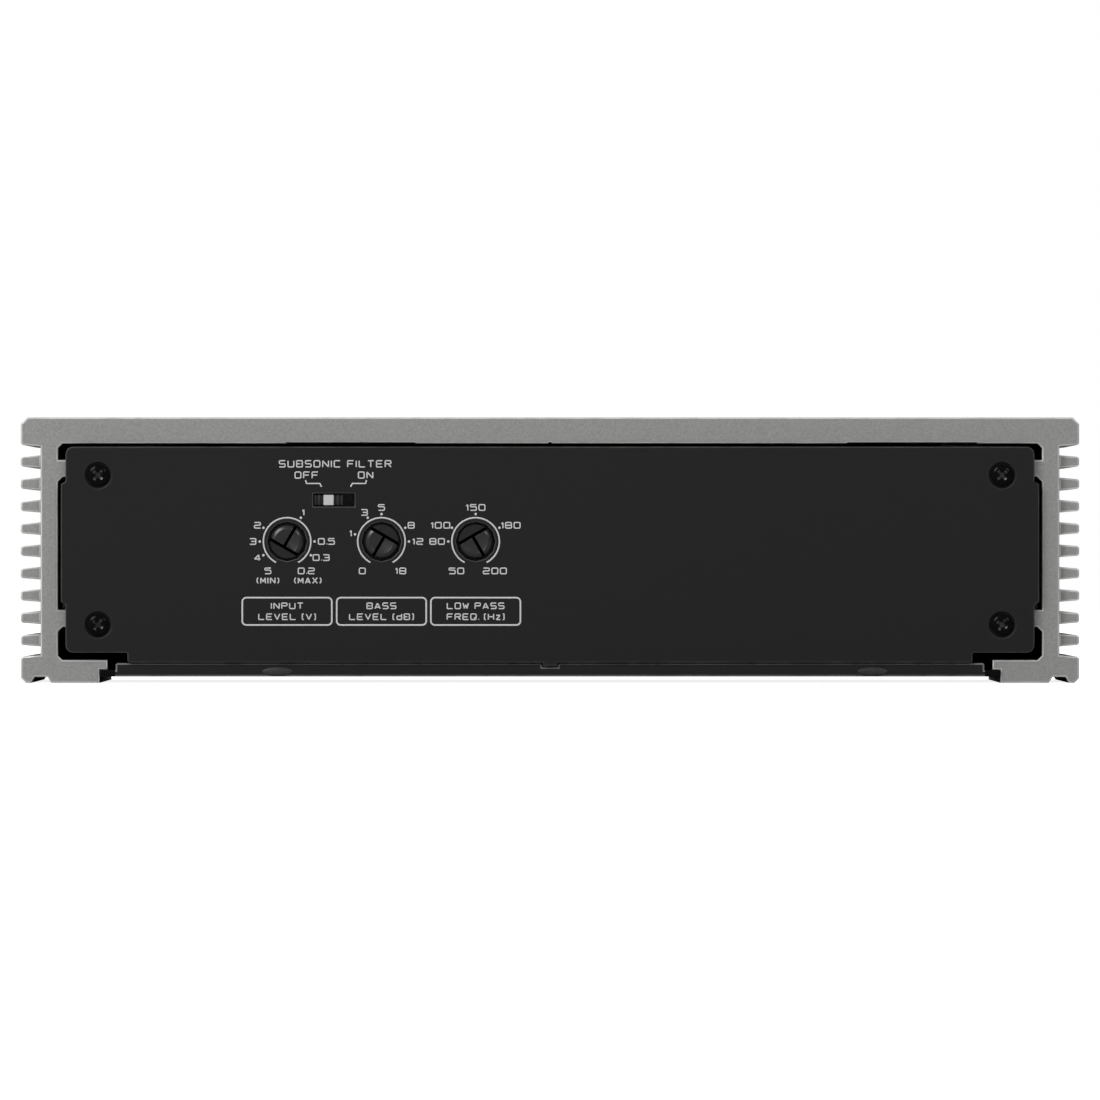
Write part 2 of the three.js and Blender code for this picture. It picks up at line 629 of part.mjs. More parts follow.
// ---------------------------------------------------------------- fuses
const FUSE_FACE = REAR_FACE + 1;
const FUSE_POCKET_DEPTH = FUSE.height - FUSE.reach + 1;
const BLADE = { offset: 6.4, width: 5.1, thickness: 0.8, length: 7 };

function fuseHolder() {
  const body = block(FUSE.x, REAR_Z, FUSE.width + 5, POWER_BLOCK.height, REAR_FACE - 20, FUSE_FACE);
  const tools = FUSE.zs.flatMap((z) => [
    block(FUSE.x, z, FUSE.width + 2 * GAP, FUSE.thickness + 2 * GAP, FUSE_FACE - FUSE_POCKET_DEPTH, FUSE_FACE + 1),
    ...[-BLADE.offset, BLADE.offset].map((offset) => block(
      FUSE.x + offset, z, BLADE.width + 2 * GAP, BLADE.thickness + 2 * GAP,
      FUSE_FACE - FUSE_POCKET_DEPTH - BLADE.length - 1, FUSE_FACE)),
  ]);
  return cut(body, ...tools);
}

function bladeFuse(z) {
  const back = FUSE_FACE - FUSE_POCKET_DEPTH + GAP;
  const body = block(FUSE.x, z, FUSE.width, FUSE.thickness, back, back + FUSE.height);
  const blades = [-BLADE.offset, BLADE.offset].map((offset) => {
    return block(FUSE.x + offset, z, BLADE.width, BLADE.thickness, back - BLADE.length, back + 1);
  });
  return join(body, ...blades);
}

place('fuse_holder', fuseHolder(), blackPlastic);
FUSE.zs.forEach((z, i) => place(`blade_fuse_${i + 1}`, bladeFuse(z), amberPlastic));

// ---------------------------------------------------------------- jacks, socket and light
function jackHousing() {
  const middle = (JACK.xs[0] + JACK.xs[1]) / 2;
  const back = block(middle, REAR_Z, 32, 18, REAR_BACK - 14, REAR_BACK - GAP);
  const cores = JACK.xs.map((x) => rodY(x, REAR_Z, JACK.core, REAR_BACK - 1, REAR_FACE + 6.5));
  const holes = JACK.xs.map((x) => rodY(x, REAR_Z, JACK.pinHole, REAR_FACE - 6, REAR_FACE + 8, 12));
  return cut(join(back, ...cores), ...holes);
}

// A plated sleeve with a hexagon-free round flange that rests on the panel.
function jackSleeve() {
  const back = PANEL_THICKNESS;
  return turn([
    [JACK.bore, -back], [JACK.radius, -back], [JACK.radius, SEAT_GAP], [JACK.flange, SEAT_GAP],
    [JACK.flange, 1.1], [JACK.radius, 1.1], [JACK.radius, JACK_REACH - 0.3],
    [JACK.radius - 0.3, JACK_REACH], [JACK.bore, JACK_REACH], [JACK.bore, -back],
  ], 18);
}

place('input_jack_housing', jackHousing(), blackPlastic);
['left', 'right'].forEach((side, i) => {
  place(`input_jack_sleeve_${side}`, jackSleeve(), brass, [JACK.xs[i], REAR_FACE, REAR_Z], FACING_REAR);
});

function levelSocket() {
  const { x, width, height, mouthWidth, mouthHeight, depth } = LEVEL_SOCKET;
  const face = REAR_FACE + 0.4;
  const body = block(x, REAR_Z, width, height, face - depth, face);
  const mouth = block(x, REAR_Z, mouthWidth, mouthHeight, face - depth + 4, face + 1);
  const latch = block(x, REAR_Z - mouthHeight / 2 - 1, 4, 2.5, face - depth + 4, face + 1);
  return cut(body, mouth, latch);
}

function lightGuide() {
  return turn([
    [0, -6], [LIGHT.flange, -6], [LIGHT.flange, -PANEL_THICKNESS - GAP],
    [LIGHT.radius, -PANEL_THICKNESS - GAP], [LIGHT.radius, 0.3], [LIGHT.radius - 0.5, 0.7], [0, 0.8],
  ]);
}

place('remote_level_socket', levelSocket(), blackPlastic);
place('status_light', lightGuide(), clearPlastic, [LIGHT.x, REAR_FACE, REAR_Z], FACING_REAR);

// ---------------------------------------------------------------- power stage
function ring(inner, outer, z0, z1, sides) {
  return turn([[inner, z0], [outer, z0], [outer, z1], [inner, z1], [inner, z0]], sides);
}

const TRANSFORMER = { x: -38, y: -40, inner: 14, outer: 27, z0: BOARD_TOP + 2.4, z1: BOARD_TOP + 20, wire: 2 };

// The winding is a sleeve round the core, open over a short stretch of the ring.
function transformerWinding() {
  const { inner, outer, z0, z1, wire } = TRANSFORMER;
  const outside = ring(inner - wire - GAP, outer + wire + GAP, z0 - wire - GAP, z1 + wire + GAP, 24);
  const inside = ring(inner - GAP, outer + GAP, z0 - GAP, z1 + GAP, 24);
  const opening = box(0, outer + 2 * wire, -5, 5, z0 - 2 * wire, z1 + 2 * wire);
  return cut(outside, inside, opening);
}

const transformerPlace = [TRANSFORMER.x, TRANSFORMER.y, 0];
const transformerCore = ring(TRANSFORMER.inner, TRANSFORMER.outer, TRANSFORMER.z0, TRANSFORMER.z1, 24);
place('transformer_core', transformerCore, ferrite, transformerPlace);
place('transformer_winding', transformerWinding(), copperWire, transformerPlace);

const inductor = turn([
  [0, 0], [13, 0], [14, 1], [14, 3], [12, 4], [12, 17], [14, 18], [14, 20], [13, 21], [0, 21],
], 18);
place('output_inductor', inductor, ferrite, [34, 40, BOARD_TOP]);

const capacitor = turn([
  [0, 0], [8.4, 0], [9, 0.8], [9, 2.4], [8.5, 3], [9, 3.6], [9, 26], [8.4, 27], [0, 27],
], 14);
[[20, -60], [42, -60], [64, -60]].forEach(([x, y], i) => {
  place(`capacitor_${i + 1}`, capacitor, sleeve, [x, y, BOARD_TOP]);
});

// ---------------------------------------------------------------- transistors and clamps
const TRANSISTOR = { width: 16, thickness: 5, height: 20, leadPitch: 5.4 };
const CLAMP_LEG_X = 96.9;

// A transistor stands on its leads with its back against the case wall.
function powerTransistor() {
  const { width, thickness, height, leadPitch } = TRANSISTOR;
  const half = thickness / 2;
  const body = box(-half, half, -width / 2, width / 2, 3, 3 + height);
  const leads = [-leadPitch, 0, leadPitch].map((y) => box(-0.4, 0.4, y - 0.6, y + 0.6, 0, 4));
  return join(body, ...leads);
}

// Sheet bracket in section: a flange under the ceiling, a leg past the rail, and a pad
// that presses on the transistors.
function clampSection(side) {
  const t = CLAMP.sheet;
  const top = SLAB.ceilingZ - SEAT_GAP;
  const padX = WALL.inner - GAP - TRANSISTOR.thickness - GAP;
  const points = [
    [88, top], [CLAMP_LEG_X + t, top], [CLAMP_LEG_X + t, 41], [padX, 38.5], [padX, 26],
    [padX - t, 26], [padX - t, 37], [CLAMP_LEG_X, 39.5], [CLAMP_LEG_X, top - t], [88, top - t],
  ];
  return polygon(points.map(([x, z]) => [side * x, z]));
}

function clampBar(side) {
  const bar = prismY(clampSection(side), CLAMP.y0, CLAMP.y1);
  const [z0, z1] = [SLAB.ceilingZ - 4, SLAB.ceilingZ + 1];
  const holes = TOP_SCREW.ys.map((y) => rodZ(side * TOP_SCREW.x, y, 1.5 + GAP, z0, z1, 12));
  return cut(bar, ...holes);
}

[-1, 1].forEach((side, row) => {
  place(`clamp_bar_${row + 1}`, clampBar(side), steel);
  const x = side * (WALL.inner - GAP - TRANSISTOR.thickness / 2);
  TOP_SCREW.ys.forEach((y, i) => {
    place(`power_transistor_${2 * row + i + 1}`, powerTransistor(), blackPlastic, [x, y, BOARD_TOP]);
  });
});

export default amplifier;
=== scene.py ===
# %% [markdown]
# # A car amplifier, piece by piece
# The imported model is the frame: every node is already in its place, in metres, with the
# control panel facing -Y. This lesson replaces or repaints each visible node. Copies of
# the exact solids keep the fit, and everything fine is added to them: rounded edges,
# turned screw heads, slotted knobs, printing and paint.

# %% Load the frame
import math

import bmesh
import bpy
from mathutils import Matrix, Vector


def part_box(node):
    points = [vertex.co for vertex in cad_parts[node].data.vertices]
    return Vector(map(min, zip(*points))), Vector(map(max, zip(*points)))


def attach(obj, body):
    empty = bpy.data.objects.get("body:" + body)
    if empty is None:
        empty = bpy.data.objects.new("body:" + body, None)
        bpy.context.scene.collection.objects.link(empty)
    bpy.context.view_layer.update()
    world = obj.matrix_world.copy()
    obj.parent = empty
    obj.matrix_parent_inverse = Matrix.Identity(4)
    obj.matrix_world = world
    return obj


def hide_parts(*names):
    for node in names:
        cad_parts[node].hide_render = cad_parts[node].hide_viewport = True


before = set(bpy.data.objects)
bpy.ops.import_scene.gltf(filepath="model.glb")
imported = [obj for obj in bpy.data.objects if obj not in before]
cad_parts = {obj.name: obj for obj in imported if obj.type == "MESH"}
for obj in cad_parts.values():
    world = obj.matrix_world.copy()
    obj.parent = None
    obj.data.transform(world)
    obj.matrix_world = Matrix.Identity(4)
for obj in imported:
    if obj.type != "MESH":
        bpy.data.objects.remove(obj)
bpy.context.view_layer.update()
MM = 0.001
CASE = "case"


def box_of(node):
    """Lowest corner, highest corner and middle of a node at rest."""
    low, high = (Vector(corner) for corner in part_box(node))
    return low, high, (low + high) / 2


PANEL_FACE = box_of("front_panel")[0].y
REAR_FACE = box_of("rear_panel")[1].y
print("panel face at", round(PANEL_FACE / MM, 2), "mm, rear face at", round(REAR_FACE / MM, 2))

# %% [markdown]
# ## Shared shader groups
# Grain and painted edge highlights turn up on nearly every surface of this object, so each
# is one node group with named sockets. A group gives out only values and colours. The
# shader itself stays in each material, because each finish has its own constants.


# %% Node helpers
def adjust(node, **settings):
    """Sets a node's properties and its inputs' values by name."""
    for name, value in settings.items():
        if hasattr(node, name):
            setattr(node, name, value)
        else:
            node.inputs[name.replace("_", " ")].default_value = value
    return node


def add(tree, kind, **settings):
    """A new node in a tree, with its properties and its inputs' values given by name."""
    return adjust(tree.nodes.new(kind), **settings)


def wire(tree, source, output, target, entry):
    """Links an output of one node to an input of another, each by its name or number."""
    tree.links.new(source.outputs[output], target.inputs[entry])


def combine(tree, operation, first, second, **settings):
    """A Math node fed by two outputs, each given as (node, name or number)."""
    node = add(tree, "ShaderNodeMath", operation=operation, **settings)
    wire(tree, *first, node, 0)
    wire(tree, *second, node, 1)
    return node


def new_group(name, inputs, outputs, kind="ShaderNodeTree"):
    """An empty node group with (name, kind, default) inputs and (name, kind) outputs."""
    group = bpy.data.node_groups.new(name, kind)
    for label, socket, default in inputs:
        made = group.interface.new_socket(label, in_out="INPUT", socket_type="NodeSocket" + socket)
        if default is not None:
            made.default_value = default
    for label, socket in outputs:
        group.interface.new_socket(label, in_out="OUTPUT", socket_type="NodeSocket" + socket)
    start = add(group, "NodeGroupInput")
    end = add(group, "NodeGroupOutput")
    return group, start, end


# %% The grain group: fine relief and slow drift of tone
def make_grain():
    group, start, end = new_group(
        "surface_grain",
        [("Fine Scale", "Float", 4000.0), ("Broad Scale", "Float", 30.0),
         ("Sparkle", "Float", 0.5)],
        [("Height", "Float"), ("Drift", "Float"), ("Flake", "Float")],
    )
    place = add(group, "ShaderNodeTexCoord")
    fine = add(group, "ShaderNodeTexNoise", Detail=3.0, Roughness=0.6)
    broad = add(group, "ShaderNodeTexNoise", Detail=2.0, Roughness=0.5)
    cells = add(group, "ShaderNodeTexVoronoi")
    for texture, scale in ((fine, "Fine Scale"), (broad, "Broad Scale"), (cells, "Fine Scale")):
        wire(group, place, "Object", texture, "Vector")
        wire(group, start, scale, texture, "Scale")
    shade = add(group, "ShaderNodeSeparateColor")
    wire(group, cells, "Color", shade, "Color")
    brighten = combine(group, "MULTIPLY", (shade, "Red"), (start, "Sparkle"))
    wire(group, fine, "Fac", end, "Height")
    wire(group, broad, "Fac", end, "Drift")
    wire(group, brighten, 0, end, "Flake")
    return group


# %% The edge group: a painted highlight on rounded edges, broken up in patches
def make_highlight_group():
    group, start, end = new_group(
        "rubbed_edges",
        [("Breakup Scale", "Float", 250.0), ("Amount", "Float", 0.5)],
        [("Mask", "Float")],
    )
    place = add(group, "ShaderNodeTexCoord")
    edge = add(group, "ShaderNodeAttribute", attribute_name="edge")
    patches = add(group, "ShaderNodeTexNoise", Detail=4.0)
    wire(group, place, "Object", patches, "Vector")
    wire(group, start, "Breakup Scale", patches, "Scale")
    patchy_mask = combine(group, "MULTIPLY", (edge, "Fac"), (patches, "Fac"))
    scaled = combine(group, "MULTIPLY", (patchy_mask, 0), (start, "Amount"), use_clamp=True)
    wire(group, scaled, 0, end, "Mask")
    return group


GRAIN = make_grain()
EDGES = make_highlight_group()
print("shader groups:", GRAIN.name, EDGES.name)

# %% [markdown]
# ## Finishes
# The case is sprayed with a fine metallic silver over a matt primer, so single flakes
# catch the light. The end panels are powder coated: black, slightly nubbly, low sheen.
# Moulded plastics have a faint spark-eroded grain. One function makes all of them from
# plain numbers, since they differ only in colour, gloss, grain and painted edge highlight.
# Two face attributes steer every finish: "edge" marks rounded edges, which get a painted
# highlight, and "hollow" marks deep slots and hidden faces, which get painted shade and stay
# dull.


# %% One function for every opaque finish
HOLLOW_SHADE = 0.03  # what is left of a finish's tone in a deep slot


def finish_material(name, colour, roughness, metallic=0.0, grain=4000.0, relief=0.02, drift=0.08,
                    sparkle=0.0, edge_highlight=0.0, highlight_colour=(0.5, 0.5, 0.5), coat=0.0, specular=0.5):
    material = bpy.data.materials.new(name)
    material.use_nodes = True
    tree = material.node_tree
    shader = adjust(tree.nodes["Principled BSDF"], Specular_IOR_Level=specular, Coat_Weight=coat,
                    Coat_Roughness=0.2, Metallic=metallic)

    texture = add(tree, "ShaderNodeGroup", node_tree=GRAIN)
    adjust(texture, Fine_Scale=grain, Sparkle=sparkle)
    tone = add(tree, "ShaderNodeMapRange", To_Min=1.0 - drift, To_Max=1.0 + drift)
    wire(tree, texture, "Drift", tone, "Value")
    lifted = combine(tree, "ADD", (tone, "Result"), (texture, "Flake"))
    # Painted shade: faces marked "hollow" get a darker base colour, down to HOLLOW_SHADE of its
    # tone, and a duller gloss.
    hollow = add(tree, "ShaderNodeAttribute", attribute_name="hollow")
    open_share = add(tree, "ShaderNodeMapRange", To_Min=1.0, To_Max=HOLLOW_SHADE)
    wire(tree, hollow, "Fac", open_share, "Value")
    shaded = combine(tree, "MULTIPLY", (lifted, 0), (open_share, "Result"))
    base = add(tree, "ShaderNodeVectorMath", operation="SCALE")
    base.inputs[0].default_value = colour
    wire(tree, shaded, 0, base, "Scale")

    # Painted highlight: faces marked "edge" are mixed towards a lighter colour, in patches.
    highlight_mix = add(tree, "ShaderNodeGroup", node_tree=EDGES)
    highlight_mix.inputs["Amount"].default_value = edge_highlight
    mixed = add(tree, "ShaderNodeMix", data_type="RGBA")
    mixed.inputs["B"].default_value = (*highlight_colour, 1.0)
    wire(tree, highlight_mix, "Mask", mixed, "Factor")
    wire(tree, base, "Vector", mixed, "A")
    wire(tree, mixed, "Result", shader, "Base Color")

    gloss = add(tree, "ShaderNodeMapRange", To_Min=roughness * 0.9,
                To_Max=min(1.0, roughness * 1.1))
    wire(tree, texture, "Height", gloss, "Value")
    dulled = combine(tree, "MAXIMUM", (gloss, "Result"), (hollow, "Fac"))
    wire(tree, dulled, 0, shader, "Roughness")
    bump = add(tree, "ShaderNodeBump", Strength=0.6, Distance=relief * MM)
    wire(tree, texture, "Height", bump, "Height")
    wire(tree, bump, "Normal", shader, "Normal")
    return material


# %% The finishes of this amplifier
def grey(tone):
    return (tone, tone, tone)


# The edge highlight of each finish is a painted highlight on its rounded edges; on
# black_oxide_steel it also makes painted glints in the screw recesses.
SILVER_PAINT = finish_material("silver_paint", (0.29, 0.29, 0.283), 0.45, metallic=0.35,
                               grain=3500.0, relief=0.012, drift=0.03, sparkle=0.25, edge_highlight=1.8,
                               highlight_colour=(0.66, 0.66, 0.65))
POWDER_COAT = dict(colour=(0.0105, 0.0105, 0.0107), roughness=0.5, grain=2500.0, relief=0.015,
                   drift=0.04, specular=0.22)
BLACK_STEEL = finish_material("black_powder_coat", edge_highlight=0.8, highlight_colour=grey(0.11), **POWDER_COAT)
BASE_STEEL = finish_material("rubbed_powder_coat", edge_highlight=1.9, highlight_colour=grey(0.17), **POWDER_COAT)
BLACK_SCREW = finish_material("black_oxide_steel", (0.002, 0.002, 0.0022), 0.14, grain=5000.0,
                              relief=0.004, edge_highlight=1.9, highlight_colour=(0.32, 0.32, 0.33), specular=0.07)
PLATED_STEEL = finish_material("zinc_plate", (0.55, 0.55, 0.56), 0.28, metallic=1.0, grain=3000.0,
                               relief=0.01, edge_highlight=0.1)
KNOB_PLASTIC = finish_material("knob_plastic", (0.012, 0.012, 0.0125), 0.33, grain=6000.0,
                               relief=0.006, edge_highlight=0.3, highlight_colour=grey(0.05), coat=0.25,
                               specular=0.4)
# A near-black finish laid on knob slot floors as painted shade.
SLOT_SHADE = finish_material("slot_floor", grey(0.0012), 0.9, grain=6000.0, relief=0.005,
                            specular=0.0)
MOULDED_BLACK = finish_material("moulded_black", (0.014, 0.014, 0.015), 0.5, grain=3500.0)
SWITCH_MARK = finish_material("switch_mark_paint", (0.55, 0.55, 0.56), 0.5, relief=0.01)
WHITE_INK = finish_material("screen_print_ink", grey(0.62), 0.6, grain=5000.0, relief=0.005)
GILT = finish_material("plated_brass", (0.83, 0.62, 0.28), 0.22, metallic=1.0, grain=3000.0,
                       relief=0.006)
BARE_STEEL = finish_material("rolled_steel", (0.42, 0.42, 0.43), 0.4, metallic=1.0, grain=1500.0)
FERRITE = finish_material("sintered_ferrite", (0.045, 0.047, 0.05), 0.75, grain=2500.0, relief=0.05)
ENAMEL_WIRE = finish_material("enamelled_wire", (0.42, 0.13, 0.04), 0.3, metallic=0.7, grain=2000.0,
                              coat=0.5)
SLEEVE = finish_material("shrink_sleeve", (0.012, 0.014, 0.024), 0.35, grain=2000.0, relief=0.01)
CIRCUIT = finish_material("solder_mask", (0.015, 0.085, 0.035), 0.35, grain=900.0, relief=0.03,
                          coat=0.4)
print("finishes:", len(bpy.data.materials))

# %% [markdown]
# ## Rounded copies of the exact solids
# No sheet or moulding has knife edges: the light line along an edge is what makes it look
# real. A copy of a solid is merged into one skin, its flat faces are joined up again, and
# a Bevel modifier rounds what is left sharp. The result is turned into a plain mesh.


# %% Mesh helpers
def evaluated_mesh(piece, name):
    """The mesh that a piece's modifiers make."""
    graph = bpy.context.evaluated_depsgraph_get()
    mesh = bpy.data.meshes.new_from_object(piece.evaluated_get(graph), depsgraph=graph)
    mesh.name = name
    return mesh


def bake_modifiers(piece):
    mesh = evaluated_mesh(piece, piece.name)
    piece.modifiers.clear()
    piece.data = mesh
    return piece


def new_piece(name, mesh, material):
    piece = bpy.data.objects.new(name, mesh)
    bpy.context.scene.collection.objects.link(piece)
    mesh.materials.clear()
    mesh.materials.append(material)
    return piece


def from_bmesh(name, bm, material):
    mesh = bpy.data.meshes.new(name)
    bm.normal_update()
    bm.to_mesh(mesh)
    bm.free()
    return new_piece(name, mesh, material)


def skin_of(node):
    """A node's triangles merged into one skin, with its flat faces joined up."""
    bm = bmesh.new()
    bm.from_mesh(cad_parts[node].data)
    bmesh.ops.remove_doubles(bm, verts=bm.verts, dist=2e-6)
    bmesh.ops.dissolve_limit(bm, angle_limit=math.radians(0.6), verts=bm.verts, edges=bm.edges,
                             delimit={"NORMAL"})
    return bm


def mark_edges(piece):
    """Turns the second material slot, which only edge faces have, into an edge attribute."""
    mesh = piece.data
    marks = mesh.attributes.new("edge", "FLOAT", "FACE")
    for mark, face in zip(marks.data, mesh.polygons):
        mark.value = float(face.material_index)
        face.material_index = 0
    mesh.materials.pop(index=1)
    return piece


def fade_edges(piece, inside, share):
    """Lowers the edge marks of the faces whose middle, in millimetres, passes the test."""
    marks = piece.data.attributes["edge"]
    for mark, face in zip(marks.data, piece.data.polygons):
        if inside(face.center / MM):
            mark.value *= share
    return piece


def mark_faces(piece, attribute, share):
    """Stores a share from 0 to 1 on each face, worked out from its middle in millimetres."""
    marks = piece.data.attributes.new(attribute, "FLOAT", "FACE")
    for mark, face in zip(marks.data, piece.data.polygons):
        mark.value = min(1.0, max(0.0, share(face.center / MM)))
    return piece


def mark_painted_shade(piece, share):
    """Stores how hidden each face is, so that its finish gets painted shade and a duller gloss."""
    return mark_faces(piece, "hollow", share)


def even_normals(piece):
    """Lets the large faces rule the shading, so that they look flat."""
    even = piece.modifiers.new("flats", "WEIGHTED_NORMAL")
    even.mode = "FACE_AREA"
    even.weight = 90
    even.keep_sharp = True
    for face in piece.data.polygons:
        face.use_smooth = True


def round_edges(piece, width, segments=2, angle=32, clamp=True):
    bevel = piece.modifiers.new("rounding", "BEVEL")
    bevel.width = width * MM
    bevel.segments = segments
    bevel.limit_method = "ANGLE"
    bevel.angle_limit = math.radians(angle)
    bevel.use_clamp_overlap = clamp
    bevel.material = 1
    piece.data.materials.append(piece.data.materials[0])
    even_normals(piece)
    return mark_edges(bake_modifiers(piece))


def round_ends(name, bm, width, material):
    """Rounds and marks only the outlines of the two end faces of an extrusion along Y."""
    bm.normal_update()
    marks = bm.faces.layers.float.new("edge")
    ends = {edge for face in bm.faces if abs(face.normal.y) > 0.99 for edge in face.edges
            if any(abs(other.normal.y) < 0.1 for other in edge.link_faces)}
    rounded = bmesh.ops.bevel(bm, geom=list(ends), offset=width * MM, segments=3, profile=0.5,
                              affect="EDGES", clamp_overlap=False)
    for face in rounded["faces"]:
        face[marks] = 1.0
    piece = from_bmesh(name, bm, material)
    piece.data.set_sharp_from_angle(angle=math.radians(30))
    even_normals(piece)
    return bake_modifiers(piece)


def subtract(piece, cutter):
    """Cuts one piece with another, which is then deleted."""
    saw = piece.modifiers.new("cut", "BOOLEAN")
    saw.operation = "DIFFERENCE"
    saw.solver = "EXACT"
    saw.object = cutter
    bake_modifiers(piece)
    bpy.data.objects.remove(cutter)
    return piece


def settle(piece, body, slot, *nodes):
    """Rides a finished piece on its body and hides any nodes it replaces. Its slot argument is not
    used.
    """
    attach(piece, body)
    if nodes:
        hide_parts(*nodes)
    return piece


def turned(name, profile, material, sides=48):
    """A piece turned about Z from [radius, height] points in millimetres, bottom to top."""
    bm = bmesh.new()
    rings = []
    for radius, height in profile:
        if radius == 0:
            rings.append([bm.verts.new((0, 0, height * MM))])
            continue
        steps = (2 * math.pi * i / sides for i in range(sides))
        rings.append([
            bm.verts.new((radius * MM * math.cos(a), radius * MM * math.sin(a), height * MM))
            for a in steps
        ])
    for below, above in zip(rings, rings[1:]):
        for i in range(sides):
            j = (i + 1) % sides
            corners = [below[i % len(below)], below[j % len(below)],
                       above[j % len(above)], above[i % len(above)]]
            face = list(dict.fromkeys(corners))
            if len(face) > 2:
                bm.faces.new(face)
    bmesh.ops.recalc_face_normals(bm, faces=bm.faces)
    for face in bm.faces:
        face.smooth = True
    piece = from_bmesh(name, bm, material)
    piece.data.set_sharp_from_angle(angle=math.radians(40))
    return piece


def slab(name, size, middle, material=None):
    """A plain block, used only as a cutter or as the start of a shaped piece."""
    bm = bmesh.new()
    bmesh.ops.create_cube(bm, size=1.0)
    bmesh.ops.scale(bm, vec=Vector(size) * MM, verts=bm.verts)
    bmesh.ops.translate(bm, vec=Vector(middle), verts=bm.verts)
    return from_bmesh(name, bm, material or MOULDED_BLACK)


def stand(piece, matrix):
    """Moves a piece's mesh, so that its object stays at the origin."""
    piece.data.transform(matrix)
    piece.data.update()
    return piece


FACING_FRONT = Matrix.Rotation(math.radians(90), 4, "X")
FACING_REAR = Matrix.Rotation(math.radians(-90), 4, "X")
print("helpers ready")

# %% [markdown]
# ## The case
# The real case is one aluminium extrusion, cut to length, milled at the corners and
# sprayed. Only the sawn outlines of its two ends are rounded and marked for a painted
# highlight. The long edges stay as the solid has them.

# %% Finned case
SAWN_EDGE = 0.34
finned_case = round_ends("finned_case", skin_of("heat_sink"), SAWN_EDGE, SILVER_PAINT)
settle(finned_case, CASE, "silver_paint", "heat_sink")
print("case faces:", len(finned_case.data.polygons))

# %% [markdown]
# ## End panels and bottom plate
# The panels are punched sheet, so a burr-free rounded edge runs round each outline. Under
# each corner screw the sheet is pressed into a shallow dish. The dish is cut with a turned
# cutter before the edges are rounded.

# %% Panels with dished screw seats
SCREW_NODES = [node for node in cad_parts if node.startswith("front_panel_screw")]
REAR_SCREW_NODES = [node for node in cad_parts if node.startswith("rear_panel_screw")]
DISH_RADIUS = 3.15
DISH_DEPTH = 0.45
SEAT_REACH = 4.0  # millimetres from a screw's middle within which the painted edge highlight is lowered and the dish gets painted shade
SEAT_HIGHLIGHT = 0.15  # share of the painted edge highlight that is left there
PANEL_EDGE = 0.22
TRAY_EDGE = 0.38
TRAY_RIM_START = 98.6  # millimetres from the middle
BUMP_SIZE = (3.5, 0.5, 1.0)
BUMP_RISE = 1.15
BUMP_HIGHLIGHT = 0.18


def dish_cutter(node, face, facing):
    middle = box_of(node)[2]
    cutter = turned("dish", [(0, -DISH_DEPTH), (DISH_RADIUS - 0.5, -DISH_DEPTH),
                             (DISH_RADIUS, 0.05), (0, 0.05)], BLACK_STEEL)
    return stand(cutter, Matrix.Translation((middle.x, face, middle.z)) @ facing)


def dressed_panel(name, node, screws, face, facing):
    panel = from_bmesh(name, skin_of(node), BLACK_STEEL)
    for screw in screws:
        subtract(panel, dish_cutter(screw, face, facing))
    round_edges(panel, PANEL_EDGE, 3, 28, clamp=False)
    middles = [box_of(screw)[2] for screw in screws]
    seats = [Vector((middle.x, face, middle.z)) / MM for middle in middles]

    def by_a_screw(spot):
        return any((spot - seat).length < SEAT_REACH for seat in seats)

    def share_below(spot):
        """Painted shade: a dish goes dark just under the face; elsewhere only what lies below the
        edge does.
        """
        depth = abs(face / MM - spot.y)
        return (depth - 0.05) / 0.1 if by_a_screw(spot) else (depth - 0.25) / 0.25

    # Near the screws the painted edge highlight is lowered; dishes and hole walls get painted
    # shade.
    fade_edges(panel, by_a_screw, SEAT_HIGHLIGHT)
    mark_painted_shade(panel, share_below)
    return settle(panel, CASE, "black_steel", node)


control_panel = dressed_panel("control_panel", "front_panel", SCREW_NODES, PANEL_FACE,
                              FACING_FRONT)
terminal_panel = dressed_panel("terminal_panel", "rear_panel", REAR_SCREW_NODES, REAR_FACE,
                               FACING_REAR)


def dressed_tray():
    """The bottom plate. Its rims, which reach under the feet, get no painted edge highlight and
    full painted shade.
    """

    def in_rim(spot):
        return abs(spot.x) > TRAY_RIM_START

    skin = skin_of("bottom_plate")
    for side in (-1, 1):
        bmesh.ops.bisect_plane(skin, geom=[*skin.verts, *skin.edges, *skin.faces], dist=1e-7,
                               plane_co=(side * TRAY_RIM_START * MM, 0, 0), plane_no=(1, 0, 0))
    # Its finish gives the rounded front edges a strong painted highlight.
    tray = round_ends("base_tray", skin, TRAY_EDGE, BASE_STEEL)
    fade_edges(tray, in_rim, 0.0)
    mark_painted_shade(tray, in_rim)
    return settle(tray, CASE, "black_steel", "bottom_plate")


dressed_tray()


def pressed_bumps(xs):
    """Low oval bumps in the tray's front edge, pushed out by the screw dimples behind them."""
    tray_low = box_of("bottom_plate")[0]
    bm = bmesh.new()
    for x in xs:
        bump = bmesh.ops.create_uvsphere(bm, u_segments=32, v_segments=16, radius=1.0)["verts"]
        bmesh.ops.scale(bm, vec=Vector(BUMP_SIZE) * MM, verts=bump)
        middle = Vector((x, tray_low.y, tray_low.z + BUMP_RISE * MM))
        bmesh.ops.translate(bm, vec=middle, verts=bump)
    for face in bm.faces:
        face.smooth = True
    bumps = from_bmesh("tray_bumps", bm, BASE_STEEL)
    # Every face of the bumps gets a faint painted highlight.
    mark_faces(bumps, "edge", lambda spot: BUMP_HIGHLIGHT)
    return settle(bumps, CASE, "black_steel")


tray_screws = [box_of(f"bottom_plate_screw_{number}")[2] for number in (1, 2, 3, 4)]
pressed_bumps([middle.x for middle in tray_screws if middle.y < 0])
print("panel faces:", len(control_panel.data.polygons), len(terminal_panel.data.polygons))

